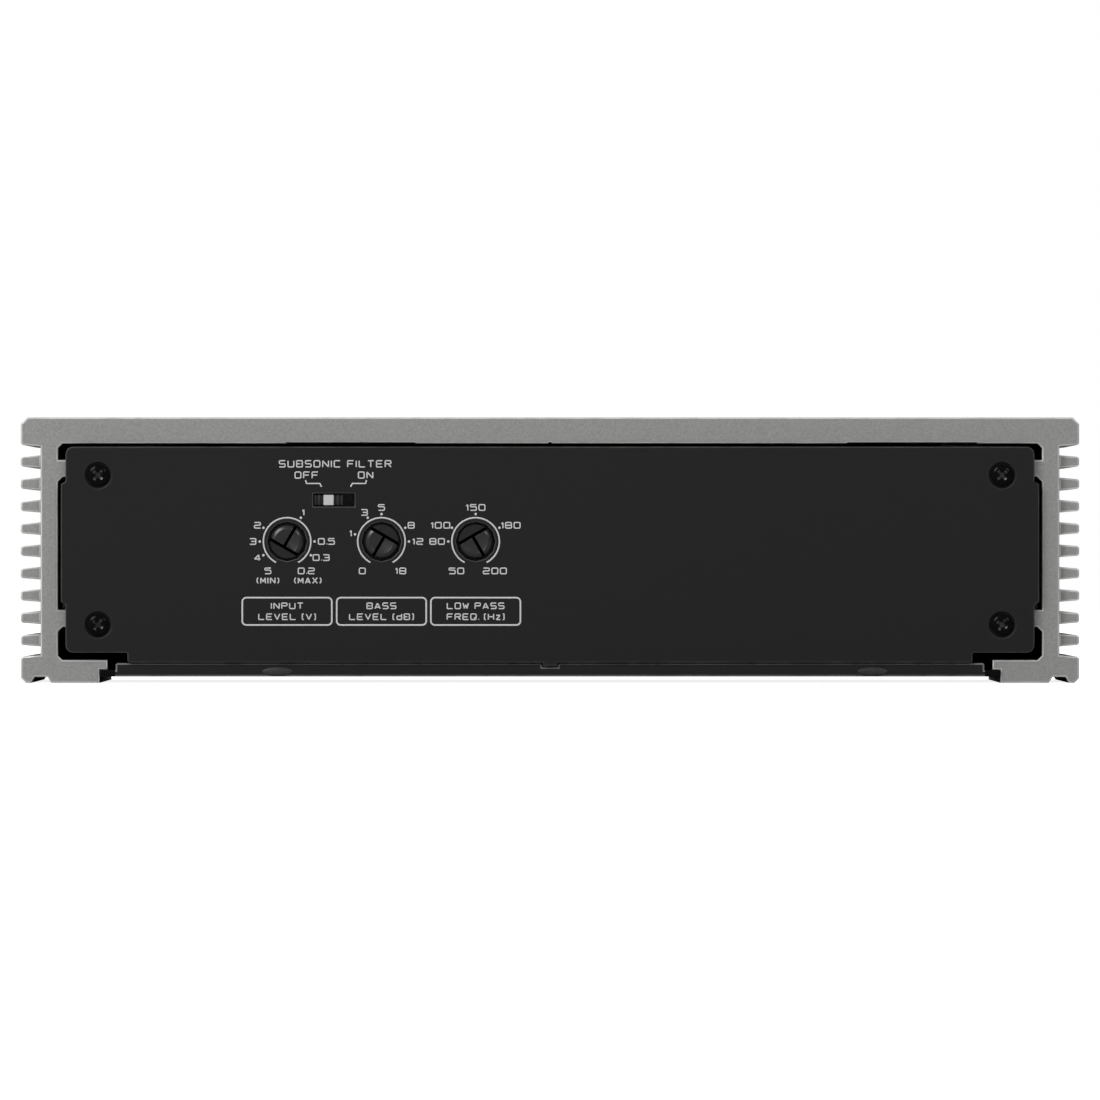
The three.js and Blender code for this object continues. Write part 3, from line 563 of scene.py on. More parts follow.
# %% [markdown]
# ## Screws
# A screw is turned once, its cross recess is cut once, and a Geometry Nodes tree sets a
# copy on every point it is given. The tree turns each copy by its own random angle, since
# no assembler lines the crosses up. The random turn has a fixed seed.


# %% A tree that sets screws on points
def end_tree(tree, start, end, last, output):
    """Ends a tree: its copies become plain mesh and take the finish it was given."""
    solid = add(tree, "GeometryNodeRealizeInstances")
    paint = add(tree, "GeometryNodeSetMaterial")
    wire(tree, last, output, solid, "Geometry")
    wire(tree, solid, "Geometry", paint, "Geometry")
    wire(tree, start, "Finish", paint, "Material")
    wire(tree, paint, "Geometry", end, "Geometry")
    return tree


def make_screw_tree():
    tree, start, end = new_group(
        "screws_on_points",
        [("Geometry", "Geometry", None), ("Screw", "Object", None),
         ("Facing", "Vector", (0, 0, 0)), ("Seed", "Int", 1),
         ("Least Turn", "Float", 0.55), ("Most Turn", "Float", 1.05),
         ("Finish", "Material", None)],
        [("Geometry", "Geometry")],
        "GeometryNodeTree",
    )
    points = add(tree, "GeometryNodeMeshToPoints")
    model = add(tree, "GeometryNodeObjectInfo")
    copies = add(tree, "GeometryNodeInstanceOnPoints")
    angle = add(tree, "FunctionNodeRandomValue", data_type="FLOAT")
    turn = add(tree, "ShaderNodeCombineXYZ")
    spun = add(tree, "GeometryNodeRotateInstances")
    wire(tree, start, "Geometry", points, "Mesh")
    wire(tree, start, "Screw", model, "Object")
    wire(tree, points, "Points", copies, "Points")
    wire(tree, model, "Geometry", copies, "Instance")
    wire(tree, start, "Facing", copies, "Rotation")
    least, most = [s for s in angle.inputs if s.type == "VALUE"][:2]
    tree.links.new(start.outputs["Least Turn"], least)
    tree.links.new(start.outputs["Most Turn"], most)
    wire(tree, start, "Seed", angle, "Seed")
    random_turn = next(s for s in angle.outputs if s.type == "VALUE")
    tree.links.new(random_turn, turn.inputs["Z"])
    wire(tree, copies, "Instances", spun, "Instances")
    wire(tree, turn, "Vector", spun, "Rotation")
    return end_tree(tree, start, end, spun, "Instances")


def run_tree(name, tree, points, material, **values):
    """Runs a tree on a mesh of loose points and returns the plain mesh piece."""
    seeds = bpy.data.meshes.new(name)
    seeds.from_pydata([tuple(p) for p in points], [], [])
    piece = new_piece(name, seeds, material)
    modifier = piece.modifiers.new(name, "NODES")
    modifier.node_group = tree
    values = {**values, "Finish": material}
    for item in tree.interface.items_tree:
        if item.in_out == "INPUT" and item.name.replace(" ", "_") in values:
            modifier[item.identifier] = values[item.name.replace(" ", "_")]
    bake_modifiers(piece)
    piece.data.materials.clear()
    piece.data.materials.append(material)
    return piece


SCREW_TREE = make_screw_tree()
print("tree:", SCREW_TREE.name)

# %% Turned screw models
CROSS_ARM = 0.62  # width of one arm of the recess
CROSS_REACH = 1.35  # its length at the top, as a share of the head's radius
CROSS_TAPER = 0.45  # its length at the bottom, as a share of the top
CROWN = 0.7  # share of a head's height that is domed


def cut_cross(screw, width, top, depth):
    """Cuts two crossed wedges, narrower at the bottom, as a cross driver leaves them."""
    for turn in (0, math.pi / 2):
        bm = bmesh.new()
        wedge = bmesh.ops.create_cube(bm, size=1.0)["verts"]
        bmesh.ops.scale(bm, vec=Vector((width, CROSS_ARM, depth + 1)) * MM, verts=wedge)
        bmesh.ops.translate(bm, vec=(0, 0, (top - depth + (depth + 1) / 2) * MM), verts=wedge)
        for vert in wedge:
            if vert.co.z < top * MM:
                vert.co.x *= CROSS_TAPER
        bmesh.ops.rotate(bm, cent=(0, 0, 0), matrix=Matrix.Rotation(turn, 3, "Z"), verts=wedge)
        subtract(screw, from_bmesh("wedge", bm, BLACK_SCREW))
    return screw


def dome(radius, height, rise, steps=10):
    """The outline of a button head: a short straight side, then one even curve to the crown."""
    points = [(radius, 0.0)]
    for i in range(steps):
        angle = 0.5 * math.pi * i / (steps - 1)
        points.append((radius * math.cos(angle), height - rise + rise * math.sin(angle)))
    return points[:-1] + [(0, height)]


def pan_screw(name, radius, height, shank, length, material):
    profile = [(0, -length), (shank, -length), (shank, -0.02)]
    screw = turned(name, profile + dome(radius, height, CROWN * height), material)
    cut_cross(screw, CROSS_REACH * radius, height, height + 1.0)

    def below_crown(spot):
        """Above zero for the faces of the recess deeper than a tenth of a millimetre: they get a
        painted glint, and painted shade that grows with depth.
        """
        reach = math.hypot(spot.x, spot.y)
        if reach > 0.7 * radius:
            return 0.0
        crown = height - CROWN * height * (1 - math.sqrt(1 - (reach / radius) ** 2))
        return (crown - spot.z - 0.1) / 0.1

    # Painted glint on the recess faces, then painted shade on the deeper ones.
    mark_faces(screw, "edge", lambda spot: below_crown(spot) > 0)
    return mark_painted_shade(screw, below_crown)


def flat_screw(name, radius, depth, shank, length, material):
    screw = turned(name, [(0, -length), (shank, -length), (shank, -depth), (radius - 0.1, -0.12),
                          (radius, -0.02), (radius - 0.12, 0), (0, 0)], material)
    socket = turned("socket", [(0, -1.3), (1.15, -1.2), (1.15, 0.05), (1.35, 0.2), (0, 0.2)],
                    material, sides=6)
    return subtract(screw, socket)


def set_screws(name, nodes, model, offset, tilt, body, slot, seed, material):
    """One piece of all these screws, at each node's middle but with the given Y or Z."""
    lying = abs(math.sin(tilt)) > 0.5
    points = [box_of(node)[2] for node in nodes]
    spots = [(p.x, offset, p.z) if lying else (p.x, p.y, offset) for p in points]
    piece = run_tree(name, SCREW_TREE, spots, material, Screw=model, Facing=Vector((tilt, 0, 0)),
                     Seed=seed)
    return settle(piece, body, slot, *nodes)


QUARTER = math.pi / 2
panel_screw = pan_screw("panel_screw_model", 2.4, 1.15, 1.15, 11, BLACK_SCREW)
front_screws = set_screws("front_panel_screws", SCREW_NODES, panel_screw,
                          PANEL_FACE + DISH_DEPTH * MM, QUARTER, CASE, "black_screw", 11,
                          BLACK_SCREW)
set_screws("rear_panel_screws", REAR_SCREW_NODES, panel_screw, REAR_FACE - DISH_DEPTH * MM,
           -QUARTER, CASE, "black_screw", 12, BLACK_SCREW)
TOP_SCREW_NODES = [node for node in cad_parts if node.startswith("top_screw")]
top_screw = flat_screw("top_screw_model", 2.95, 1.7, 1.45, 8.8, PLATED_STEEL)
top_screws = set_screws("top_screws", TOP_SCREW_NODES, top_screw, box_of("top_screw_1")[1].z,
                        0.0, CASE, "plated_screw", 13, PLATED_STEEL)
BASE_SCREW_NODES = [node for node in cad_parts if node.startswith("bottom_plate_screw")]
base_screw = pan_screw("base_screw_model", 2.6, 1.35, 1.15, 4.8, BLACK_SCREW)
base_z = box_of("bottom_plate_screw_1")[0].z + 1.6 * MM
set_screws("base_screws", BASE_SCREW_NODES, base_screw, base_z, 2 * QUARTER, CASE,
           "black_screw", 14, BLACK_SCREW)
for model in (panel_screw, top_screw, base_screw):
    bpy.data.objects.remove(model)
print("screw faces:", len(front_screws.data.polygons), len(top_screws.data.polygons))

# %% [markdown]
# ## Knobs and switch
# Each trim knob is a small moulding: a chamfered disc with a T of slots cut into its face.
# The stem of the T points at the value, and the part behind the crossbar sits lower. It is
# turned pointing up, cut, rounded, and then turned to its set value.


# %% Trim knobs
KNOB_NODES = ["input_level_knob", "bass_level_knob", "filter_frequency_knob"]
KNOB_TURNS = [30, -150, 150]
SLOT_WIDTH = 0.7
SLOT_DEPTH = 1.6
CROSSBAR_DROP = 1.45
TAIL_DROP = 0.75


def darken_slots(knob):
    """Painted shade: the slot floors take a near-black finish, and the lowered part behind the bar
    is painted darker.
    """
    mark_painted_shade(knob, lambda spot: 0.8 if spot.z < -TAIL_DROP / 2 else 0.0)
    knob.data.materials.append(SLOT_SHADE)
    for face in knob.data.polygons:
        if face.center.z < -1.2 * TAIL_DROP * MM:
            face.material_index = 1


def trim_knob(node, turn_degrees):
    low, high, middle = box_of(node)
    radius = (high.x - low.x) / 2 / MM
    depth = 2.8
    profile = [(0, -depth - 3), (1.45, -depth - 3), (1.45, -depth), (radius - 0.1, -depth),
               (radius, -depth + 0.15), (radius, -0.9), (radius - 0.12, -0.6),
               (radius - 0.4, -0.34), (radius - 0.95, -0.04), (radius - 1.15, 0.0),
               (radius - 1.3, -0.08), (0, -0.12)]
    knob = turned(node.replace("_knob", "_dial"), profile, KNOB_PLASTIC, sides=64)
    cuts = [
        slab("stem", (SLOT_WIDTH, 6, 2 * SLOT_DEPTH), (0, (3 - CROSSBAR_DROP) * MM, 0)),
        slab("bar", (9, SLOT_WIDTH, 2 * SLOT_DEPTH), (0, -CROSSBAR_DROP * MM, 0)),
        slab("tail", (9, 4, 2 * TAIL_DROP), (0, (-CROSSBAR_DROP - 2) * MM, 0)),
    ]
    for cutter in cuts:
        subtract(knob, cutter)
    round_edges(knob, 0.09, 2, 35)
    darken_slots(knob)
    place = Matrix.Translation((middle.x, low.y, middle.z)) @ FACING_FRONT
    stand(knob, place @ Matrix.Rotation(math.radians(-turn_degrees), 4, "Z"))
    return settle(knob, node, "knob_plastic", node)


for node, turn_degrees in zip(KNOB_NODES, KNOB_TURNS):
    trim_knob(node, turn_degrees)
print("knobs:", len(KNOB_NODES))


# %% Slide switch
def switch_slider():
    """A ribbed thumb piece with a raised, pale middle."""
    low, high, middle = box_of("switch_slider")
    bm = skin_of("switch_slider")
    slider = round_edges(from_bmesh("switch_thumb", bm, MOULDED_BLACK), 0.06, 2, 40)
    settle(slider, "switch_slider", "slider_plastic", "switch_slider")
    mark = slab("switch_mark", (2.3, 0.5, (high.z - low.z) / MM),
                (middle.x, low.y + 0.1 * MM, middle.z), SWITCH_MARK)
    settle(round_edges(mark, 0.12, 2, 40), "switch_slider", "slider_plastic")


switch_slider()
body = from_bmesh("switch_housing", skin_of("switch_body"), MOULDED_BLACK)
settle(round_edges(body, 0.1, 2, 40), CASE, "black_plastic", "switch_body")
print("switch made")

# %% [markdown]
# ## Printing
# The panel is screen printed: dial arcs, dots, numbers and boxed labels. Ink stands a
# few hundredths of a millimetre proud, so it is made as thin geometry and stays sharp at
# any distance. A Geometry Nodes tree draws each dial from a radius, a sweep and its dots.

# %% Dial tree
INK = 0.03  # thickness of the printed ink, in millimetres


def make_dial_tree():
    tree, start, end = new_group(
        "dial_print",
        [("Geometry", "Geometry", None), ("Centre", "Vector", (0, 0, 0)),
         ("Radius", "Float", 0.0055), ("Line Width", "Float", 0.0004),
         ("Sweep", "Float", 5.3), ("Dot Radius", "Float", 0.0003),
         ("Ink Thickness", "Float", INK * MM), ("Finish", "Material", None)],
        [("Geometry", "Geometry")],
        "GeometryNodeTree",
    )
    arc = add(tree, "GeometryNodeCurveArc", mode="RADIUS", Resolution=120)
    half = add(tree, "ShaderNodeMath", operation="MULTIPLY")
    half.inputs[1].default_value = -0.5
    first = add(tree, "ShaderNodeMath", operation="ADD")
    first.inputs[1].default_value = math.pi / 2
    line = add(tree, "GeometryNodeCurvePrimitiveQuadrilateral")
    ribbon = add(tree, "GeometryNodeCurveToMesh", Fill_Caps=True)
    upright = add(tree, "GeometryNodeTransform", Rotation=(math.pi / 2, 0, 0))
    dot = add(tree, "GeometryNodeMeshCylinder", Vertices=20)
    points = add(tree, "GeometryNodeMeshToPoints")
    dots = add(tree, "GeometryNodeInstanceOnPoints", Rotation=(math.pi / 2, 0, 0))
    both = add(tree, "GeometryNodeJoinGeometry")
    wire(tree, start, "Radius", arc, "Radius")
    wire(tree, start, "Sweep", arc, "Sweep Angle")
    wire(tree, start, "Sweep", half, 0)
    wire(tree, half, 0, first, 0)
    wire(tree, first, 0, arc, "Start Angle")
    wire(tree, start, "Line Width", line, "Width")
    wire(tree, start, "Ink Thickness", line, "Height")
    wire(tree, arc, "Curve", ribbon, "Curve")
    wire(tree, line, "Curve", ribbon, "Profile Curve")
    wire(tree, ribbon, "Mesh", upright, "Geometry")
    wire(tree, start, "Centre", upright, "Translation")
    wire(tree, start, "Dot Radius", dot, "Radius")
    wire(tree, start, "Ink Thickness", dot, "Depth")
    wire(tree, start, "Geometry", points, "Mesh")
    wire(tree, points, "Points", dots, "Points")
    wire(tree, dot, "Mesh", dots, "Instance")
    wire(tree, upright, "Geometry", both, "Geometry")
    wire(tree, dots, "Instances", both, "Geometry")
    return end_tree(tree, start, end, both, "Geometry")


DIAL_TREE = make_dial_tree()
print("tree:", DIAL_TREE.name)

# %% Dials, numbers and labels
DIAL_RADIUS = 5.38
DOT_REACH = 6.22
SWEEP = 304
NUMBER_REACH = 6.95
LAST_ANGLE = 150  # of the numbers in the row under a dial, either way
END_SPREAD = 4.35
END_ROW_DROP = 6.68
NUMBER_HEIGHT = 1.28  # between the middles of the top and bottom strokes
LABEL_HEIGHT = 1.27
DIALS = [
    [("5", -150), ("4", -120), ("3", -90), ("2", -60), ("1", 30), ("0.5", 90), ("0.3", 120),
     ("0.2", 150)],
    [("0", -150), ("1", -75), ("3", -30), ("5", 0), ("8", 60), ("12", 90), ("18", 150)],
    [("50", -150), ("80", -90), ("100", -60), ("150", 0), ("180", 60), ("200", 150)],
]
LABELS = [("INPUT", "LEVEL [V]"), ("BASS", "LEVEL [dB]"), ("LOW PASS", "FREQ. [Hz]")]
INK_Y = PANEL_FACE - INK * MM / 2
LETTER_WIDTH = 1.05  # share of the height, between the middles of the strokes
LETTER_GAP = 0.46
WORD_GAP = 0.75
STROKE = 0.29  # width of a printed stroke, in millimetres
GRID = 8
# Each glyph is a row of strokes, and each point is a column and a row on an 8 x 8 grid.
# Corners inside a stroke are drawn round. A sharp corner is where two strokes meet.
GLYPHS = {
    "A": "00 48, 48 80, 22 62", "B": "00 08, 08 88 84 04, 44 84 80 00", "C": "88 08 00 80",
    "D": "00 08, 08 88 80 00", "E": "08 00, 08 88, 04 74, 00 80", "F": "00 08, 08 88, 04 74",
    "G": "88 08 00 80 84 54", "H": "00 08, 80 88, 04 84", "I": "00 08", "K": "00 08, 88 04, 04 80",
    "L": "08 00, 00 80", "M": "00 08, 08 42, 42 88, 88 80", "N": "00 08, 08 80, 80 88",
    "O": "00 08 88 80 00", "P": "00 08, 08 88 84 04", "Q": "00 08 88 80 00, 53 80",
    "R": "00 08, 08 88 84 04, 44 80", "S": "88 08 04 84 80 00", "T": "08 88, 48 40",
    "U": "08 00 80 88", "V": "08 40, 40 88", "W": "08 20, 20 46, 46 60, 60 88",
    "X": "00 88, 08 80", "d": "78 70, 75 05 00 70",
    "z": "06 66, 66 00, 00 60", "0": "00 08 88 80 00", "1": "06 28, 28 20",
    "2": "08 88 84 04 00 80", "3": "08 88 84 24, 84 80 00", "4": "60 68, 68 02, 02 82",
    "5": "88 08, 08 05, 05 85 80 00", "8": "04 08 88 84 04 00 80 84",
    "(": "28 06 02 20",
    ")": "08 26 22 00", "[": "28 08, 08 00, 00 20", "]": "08 28, 28 20, 20 00", ".": "00 01",
    "+": "14 74, 47 41", "-": "14 74",
}
FRONT_PRINT = Matrix.Translation((0, INK_Y, 0)) @ FACING_FRONT
REAR_PRINT = (Matrix.Translation((0, REAR_FACE + INK * MM / 2, 0))
              @ Matrix.Rotation(math.pi, 4, "Z") @ FACING_FRONT)


def soften(points, reach):
    """The same line with its inner corners drawn round."""
    closed = points[0] == points[-1]
    ring = [Vector(point) for point in (points[:-1] if closed else points)]
    soft = []
    for i, corner in enumerate(ring):
        if not closed and i in (0, len(ring) - 1):
            soft.append(corner)
            continue
        to_last = ring[i - 1] - corner
        to_next = ring[(i + 1) % len(ring)] - corner
        start = corner + to_last.normalized() * min(reach, 0.48 * to_last.length)
        end = corner + to_next.normalized() * min(reach, 0.48 * to_next.length)
        for share in (0.0, 0.25, 0.5, 0.75, 1.0):
            soft.append(start.lerp(corner, share).lerp(corner.lerp(end, share), share))
    if closed:
        soft.append(soft[0])
    return soft


def lettering(words, x, z, height, widen=1.0):
    """The strokes of one line centred on (x, z) in millimetres, and the line's width."""
    strokes = []
    pen = 0.0
    step = height * LETTER_WIDTH * widen / GRID
    for letter in words:
        if letter == " ":
            pen += WORD_GAP * height
            continue
        reach = 0.0
        for path in GLYPHS[letter].split(","):
            points = [(int(spot[0]) * step, int(spot[1]) * height / GRID) for spot in path.split()]
            reach = max(reach, *(point[0] for point in points))
            strokes.append([point + Vector((pen, 0)) for point in soften(points, 0.22 * height)])
        gap = LETTER_GAP * height * (0.6 if letter == "." else 1.0)
        pen += reach + gap
    width = pen - gap
    corner = Vector((x - width / 2, z - height / 2))
    return [[point + corner for point in stroke] for stroke in strokes], width


def ink_strokes(name, strokes, width=STROKE, facing=FRONT_PRINT):
    """Flat printed lines through points in millimetres, laid on a face."""
    curve = bpy.data.curves.new(name, "CURVE")
    curve.dimensions = "3D"
    curve.bevel_depth = width / 2 * MM
    curve.bevel_resolution = 1
    curve.use_fill_caps = True
    for stroke in strokes:
        closed = (Vector(stroke[0]) - Vector(stroke[-1])).length < 1e-6
        points = stroke[:-1] if closed else stroke
        spline = curve.splines.new("POLY")
        spline.points.add(len(points) - 1)
        for point, (x, z) in zip(spline.points, points):
            point.co = (x * MM, z * MM, 0, 1)
        spline.use_cyclic_u = closed
    line = bpy.data.objects.new(name, curve)
    bpy.context.scene.collection.objects.link(line)
    mesh = evaluated_mesh(line, name)
    bpy.data.objects.remove(line)
    mesh.transform(facing @ Matrix.Diagonal((1, 1, INK / width, 1)))
    return new_piece(name, mesh, WHITE_INK)


def rounded_box(x, z, width, height, corner, steps=5):
    points = []
    for k, (sx, sz) in enumerate(((1, 1), (-1, 1), (-1, -1), (1, -1))):
        cx, cz = x + sx * (width / 2 - corner), z + sz * (height / 2 - corner)
        for i in range(steps + 1):
            angle = math.pi / 2 * (k + i / steps)
            points.append((cx + corner * math.cos(angle), cz + corner * math.sin(angle)))
    return points + [points[0]]


def number_spot(angle, width):
    """Where a number's middle goes: outside its dot, or in the row under the dial."""
    a = math.radians(angle)
    if abs(angle) == LAST_ANGLE:
        return math.copysign(END_SPREAD, angle), -END_ROW_DROP
    across = NUMBER_REACH + 0.5 * (width + STROKE)
    along = NUMBER_REACH + 0.75 * abs(math.cos(a))
    return across * math.sin(a), along * math.cos(a)


def join_pieces(name, parts):
    """Joins parts that share one finish into a single piece."""
    bm = bmesh.new()
    for part in parts:
        bm.from_mesh(part.data)
        bpy.data.objects.remove(part)
    return from_bmesh(name, bm, WHITE_INK)


def print_dial(index, node):
    centre = box_of(node)[2]
    cx, cz = centre.x / MM, centre.z / MM
    angles = [math.radians(a) for _, a in DIALS[index] if abs(a) != LAST_ANGLE]
    dots = [(centre.x + DOT_REACH * MM * math.sin(a), INK_Y,
             centre.z + DOT_REACH * MM * math.cos(a)) for a in angles]
    ring = run_tree(f"dial_ring_{index + 1}", DIAL_TREE, dots, WHITE_INK,
                    Centre=(centre.x, INK_Y, centre.z), Radius=DIAL_RADIUS * MM,
                    Line_Width=0.35 * MM, Sweep=math.radians(SWEEP), Dot_Radius=0.28 * MM,
                    Ink_Thickness=INK * MM)
    strokes = []
    for text, angle in DIALS[index]:
        dx, dz = number_spot(angle, lettering(text, 0, 0, NUMBER_HEIGHT)[1])
        strokes += lettering(text, cx + dx, cz + dz, NUMBER_HEIGHT)[0]
    if index == 0:
        for word, dx in (("(MIN)", -END_SPREAD), ("(MAX)", 4.7)):
            strokes += lettering(word, cx + dx, cz - 8.85, 1.25, 0.8)[0]
    label_z = cz - 15.85
    for word, dz in zip(LABELS[index], (1.25, -1.22)):
        strokes += lettering(word, cx, label_z + dz, LABEL_HEIGHT, 0.9)[0]
    frame_line = ink_strokes("frame", [rounded_box(cx, label_z, 20.3, 6.2, 0.9)], 0.4)
    parts = [ring, ink_strokes("lettering", strokes), frame_line]
    return settle(join_pieces(f"dial_print_{index + 1}", parts), CASE, "black_steel")


def print_switch_legend():
    middle = box_of("switch_body")[2]
    cx, cz = middle.x / MM, middle.z / MM
    x = cx + 0.5
    strokes = lettering("SUBSONIC FILTER", cx + 0.3, cz + 8.2, 1.42, 0.88)[0]
    leaders = []
    for word, side in (("OFF", -1), ("ON", 1)):
        strokes += lettering(word, x + 6.7 * side, cz + 5.65, 1.38, 0.9)[0]
        leaders.append([(x + 6.9 * side, cz + 4.5), (x + 6.7 * side, cz + 3.75),
                        (x + 3.7 * side, cz + 3.75), (x + 3.3 * side, cz + 3.0)])
    parts = [ink_strokes("lettering", strokes), ink_strokes("leaders", leaders, 0.36)]
    return settle(join_pieces("switch_print", parts), CASE, "black_steel")


for index, node in enumerate(KNOB_NODES):
    print_dial(index, node)
print_switch_legend()
print("printing done")

# %% [markdown]
# ## Terminals, fuses and jacks
# The rear row is bought-in hardware in moulded black housings. The copies keep the wells
# and sockets of the solids and get small moulded radii. Metal parts are turned afresh.

# %% Moulded housings
HOUSINGS = {
    "power_terminal_block": 0.35,
    "speaker_terminal_block": 0.35,
    "fuse_holder": 0.3,
    "input_jack_housing": 0.2,
    "remote_level_socket": 0.25,
}
for node, radius in HOUSINGS.items():
    housing = from_bmesh(node + "_moulding", skin_of(node), MOULDED_BLACK)
    settle(round_edges(housing, radius, 2, 35), CASE, "black_plastic", node)
print("housings:", len(HOUSINGS))

# %% Wire cages in the terminal sockets
SOCKET_ROW_Z = 25.5
CAGE_SIZE = (8.8, 15.0, 8.8)
CAGE_HOLLOW = (7.2, 15.0, 7.2)
CAGE_DEPTH = 8.6  # from the housing's face to the cage's middle
HOLLOW_DEPTH = 7.4
POLES = {"power_terminal_block": [-83, -68, -53], "speaker_terminal_block": [4.5, 19.5]}


def wire_cage(node, number, x):
    """A plated box clamp, open to the rear, standing a little inside its moulded socket."""
    face = box_of(node)[1].y
    middle = (x * MM, face - CAGE_DEPTH * MM, SOCKET_ROW_Z * MM)
    cage = slab("cage", CAGE_SIZE, middle, PLATED_STEEL)
    hollow = slab("hollow", CAGE_HOLLOW, (middle[0], face - HOLLOW_DEPTH * MM, middle[2]))
    cage = round_edges(subtract(cage, hollow), 0.25, 2, 40)
    cage.name = f"{node}_cage_{number}"
    return settle(cage, CASE, "plated_screw")


for node, xs in POLES.items():
    for number, x in enumerate(xs, 1):
        wire_cage(node, number, x)
print("wire cages:", sum(len(xs) for xs in POLES.values()))

# %% Rear printing
ABOVE_BLOCK = 2.6  # from the top of a housing to the middle of its lettering


def print_rear():
    """Plain function names over the rear row, read from behind."""
    words = [("GND", -83), ("REM", -68), ("+12V", -53), ("+", 4.5), ("-", 19.5)]
    block_top = box_of("power_terminal_block")[1].z / MM
    lines = [(word, x, block_top + ABOVE_BLOCK) for word, x in words]
    lines.append(("SPEAKER", 12, block_top + ABOVE_BLOCK + 4))
    for word, node, rise in (("FUSE", "fuse_holder", 0), ("REMOTE", "remote_level_socket", 0),
                             ("POWER", "status_light", 0), ("INPUT", "input_jack_housing", 4),
                             ("L", "input_jack_sleeve_left", 0),
                             ("R", "input_jack_sleeve_right", 0)):
        _, high, middle = box_of(node)
        lines.append((word, middle.x / MM, high.z / MM + ABOVE_BLOCK + rise))
    strokes = []
    for word, x, z in lines:
        strokes += lettering(word, -x, z, 1.5)[0]
    return settle(ink_strokes("rear_print", strokes, 0.33, REAR_PRINT), CASE, "black_steel")


print_rear()
print("rear printing done")

# %% Terminal screws, each on its own body
TERMINAL_NODES = [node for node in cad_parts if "_terminal_screw_" in node]
terminal_model = pan_screw("terminal_screw_model", 3.15, 1.75, 1.95, 7.8, PLATED_STEEL)
for seed, node in enumerate(TERMINAL_NODES):
    y = box_of(node)[1].y - 1.9 * MM
    set_screws(node + "_turned", [node], terminal_model, y, -QUARTER, node, "plated_screw",
               20 + seed, PLATED_STEEL)
bpy.data.objects.remove(terminal_model)
print("terminal screws:", len(TERMINAL_NODES))

# %% Phono sleeves and status light
def jack_sleeve(node):
    _, high, middle = box_of(node)
    reach = (high.y - REAR_FACE) / MM
    profile = [(3.35, -1.5), (4.15, -1.5), (4.15, 0.1), (5.4, 0.1), (5.4, 0.95), (5.2, 1.1),
               (4.15, 1.1), (4.15, reach - 0.5), (4.0, reach - 0.15), (3.75, reach),
               (3.5, reach - 0.1), (3.35, reach - 0.5), (3.35, -1.5)]
    sleeve = turned(node + "_turned", profile, GILT, sides=64)
    stand(sleeve, Matrix.Translation((middle.x, REAR_FACE, middle.z)) @ FACING_REAR)
    return settle(sleeve, CASE, "plated_brass", node)


def tinted_material(name, colour, roughness, transmission):
    material = finish_material(name, colour, roughness, grain=1500.0, relief=0.004, drift=0.03)
    adjust(material.node_tree.nodes["Principled BSDF"], Transmission_Weight=transmission)
    return material


AMBER = tinted_material("amber_plastic", (0.85, 0.30, 0.02), 0.2, 0.35)
CLEAR = tinted_material("clear_plastic", (0.75, 0.85, 0.95), 0.12, 0.6)
for side in ("left", "right"):
    jack_sleeve("input_jack_sleeve_" + side)
for number in (1, 2):
    node = f"blade_fuse_{number}"
    fuse = from_bmesh(node + "_moulding", skin_of(node), AMBER)
    settle(round_edges(fuse, 0.35, 3, 35), node, "amber_plastic", node)
light = from_bmesh("status_lens", skin_of("status_light"), CLEAR)
settle(round_edges(light, 0.12, 2, 30), CASE, "clear_plastic", "status_light")
print("jacks and fuses made")

# %% [markdown]
# ## Inside
# The case is closed, but a bench repair would open it, so the inner parts are finished
# too. Their solids are right as they are and only take a material.

# %% Finishes of the inner nodes
INNER = {
    "main_board": CIRCUIT, "control_board": CIRCUIT, "board_link": MOULDED_BLACK,
    "transformer_core": FERRITE, "transformer_winding": ENAMEL_WIRE, "output_inductor": FERRITE,
    "clamp_bar": BARE_STEEL, "power_transistor": MOULDED_BLACK, "capacitor": SLEEVE,
    "board_screw": PLATED_STEEL, "input_level_pot": MOULDED_BLACK, "bass_level_pot": MOULDED_BLACK,
    "filter_frequency_pot": MOULDED_BLACK,
}
for node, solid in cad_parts.items():
    for prefix, material in INNER.items():
        if node.startswith(prefix):
            solid.data.materials.clear()
            solid.data.materials.append(material)
print("inner finishes:", len(INNER))

# %% [markdown]
# ## Studio
# A pale floor, a broad soft key from the upper left, a weaker fill and a long lens level
# with the panel, so the fins' gaps are seen straight through.


# %% Floor, lights and world
def area_light(name, place, aim, size, power):
    data = bpy.data.lights.new(name, "AREA")
    data.shape = "DISK"
    data.size = size
    data.energy = power
    lamp = bpy.data.objects.new(name, data)
    lamp.location = place
    lamp.rotation_mode = "QUATERNION"
    lamp.rotation_quaternion = (Vector(aim) - Vector(place)).to_track_quat("-Z", "Y")
    bpy.context.scene.collection.objects.link(lamp)


def floor_material():
    """White card. The camera sees it lifted, so the shadow under the case stays faint."""
    material = finish_material("pale_floor", grey(0.85), 0.9, grain=40.0, relief=0.0,
                               drift=0.0)
    tree = material.node_tree
    card = adjust(tree.nodes["Principled BSDF"], Emission_Color=WHITE, Emission_Strength=FLOOR_LIFT)
    plain = add(tree, "ShaderNodeBsdfDiffuse", Color=(0.6, 0.6, 0.6, 1.0))
    path = add(tree, "ShaderNodeLightPath")
    either = add(tree, "ShaderNodeMixShader")
    wire(tree, path, "Is Camera Ray", either, "Fac")
    wire(tree, plain, "BSDF", either, 1)
    wire(tree, card, "BSDF", either, 2)
    wire(tree, either, "Shader", tree.nodes["Material Output"], "Surface")
    return material


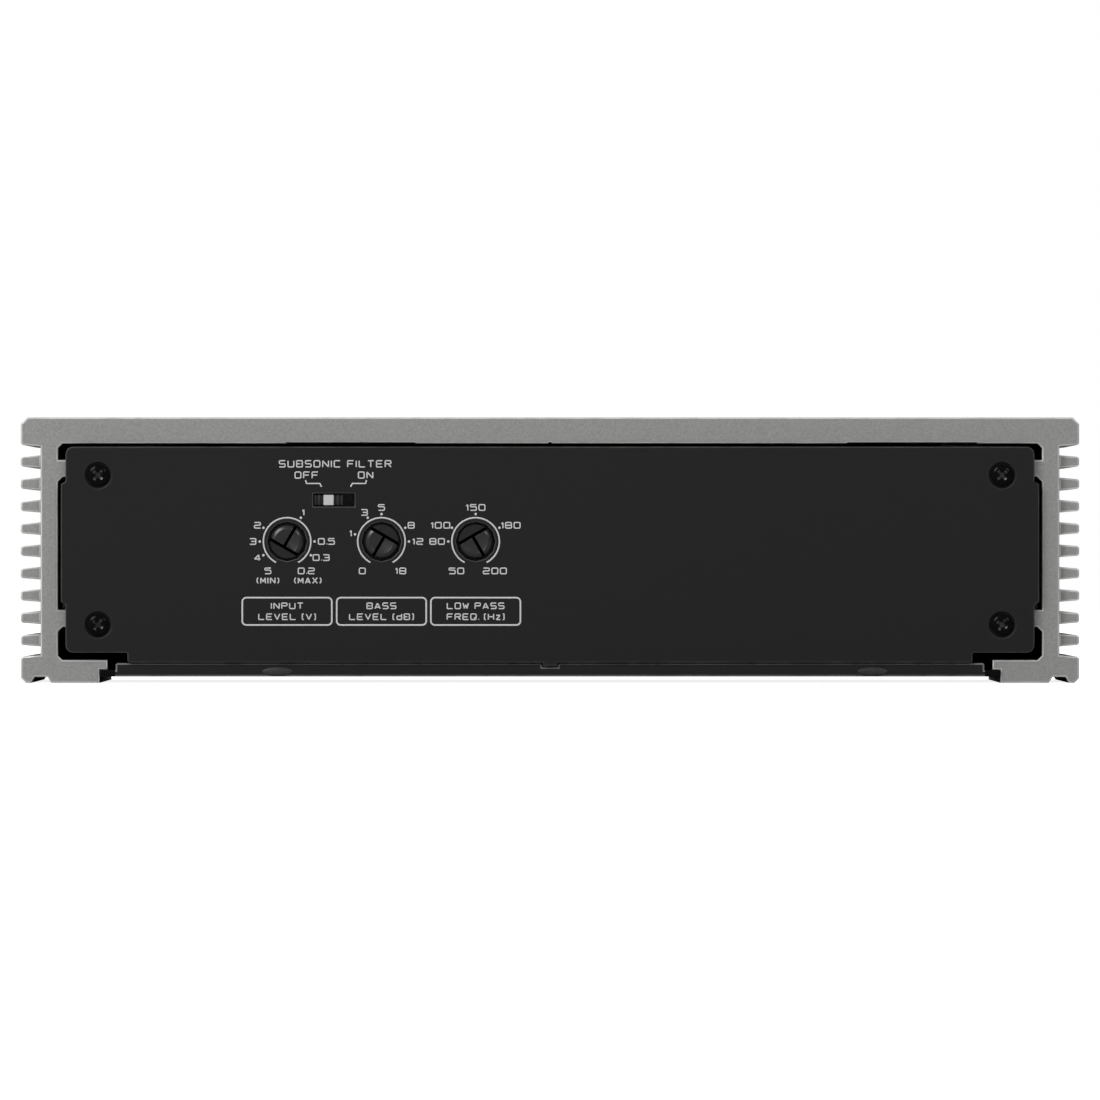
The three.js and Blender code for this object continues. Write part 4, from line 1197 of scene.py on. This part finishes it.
def make_floor():
    bm = bmesh.new()
    bmesh.ops.create_grid(bm, x_segments=1, y_segments=1, size=12.0)
    from_bmesh("floor", bm, floor_material())


def make_world(left, right):
    """White to the camera; as lighting it fades from left to right."""
    world = bpy.data.worlds.new("studio")
    bpy.context.scene.world = world
    world.use_nodes = True
    tree = world.node_tree
    seen = adjust(tree.nodes["Background"], Color=WHITE)
    soft = add(tree, "ShaderNodeBackground")
    place = add(tree, "ShaderNodeTexCoord")
    split = add(tree, "ShaderNodeSeparateXYZ")
    fade = add(tree, "ShaderNodeMapRange", From_Min=-1.0, To_Min=left, To_Max=right)
    path = add(tree, "ShaderNodeLightPath")
    either = add(tree, "ShaderNodeMixShader")
    wire(tree, place, "Generated", split, "Vector")
    wire(tree, split, "X", fade, "Value")
    wire(tree, fade, "Result", soft, "Color")
    wire(tree, path, "Is Camera Ray", either, "Fac")
    wire(tree, soft, "Background", either, 1)
    wire(tree, seen, "Background", either, 2)
    wire(tree, either, "Shader", tree.nodes["World Output"], "Surface")


WHITE = (1.0, 1.0, 1.0, 1.0)
FLOOR_LIFT = 0.85
MID_HEIGHT = 0.03  # metres, about halfway up the case
make_floor()
make_world(left=0.6, right=0.25)
area_light("key", (-0.75, -0.95, 0.85), (0, 0, MID_HEIGHT), size=0.7, power=10.5)
area_light("fill", (0.8, -1.1, 0.75), (0, 0, MID_HEIGHT), size=0.4, power=2.5)
bpy.context.scene.view_settings.view_transform = "Standard"

# %% Camera
LENS = 1650.0
SENSOR = 36.0
FRAME_WIDTH = 0.2494  # metres across the view, at the control panel
CAMERA_HEIGHT = 0.03014
CAMERA_REACH = 100.0
camera_data = bpy.data.cameras.new("camera")
camera_data.lens = LENS
camera_data.sensor_width = SENSOR
camera_data.clip_end = CAMERA_REACH
camera = bpy.data.objects.new("camera", camera_data)
camera.location = (0.0, PANEL_FACE - FRAME_WIDTH * LENS / SENSOR, CAMERA_HEIGHT)
camera.rotation_euler = (QUARTER, 0, 0)
bpy.context.scene.collection.objects.link(camera)
bpy.context.scene.camera = camera
print("camera at", [round(v, 3) for v in camera.location])
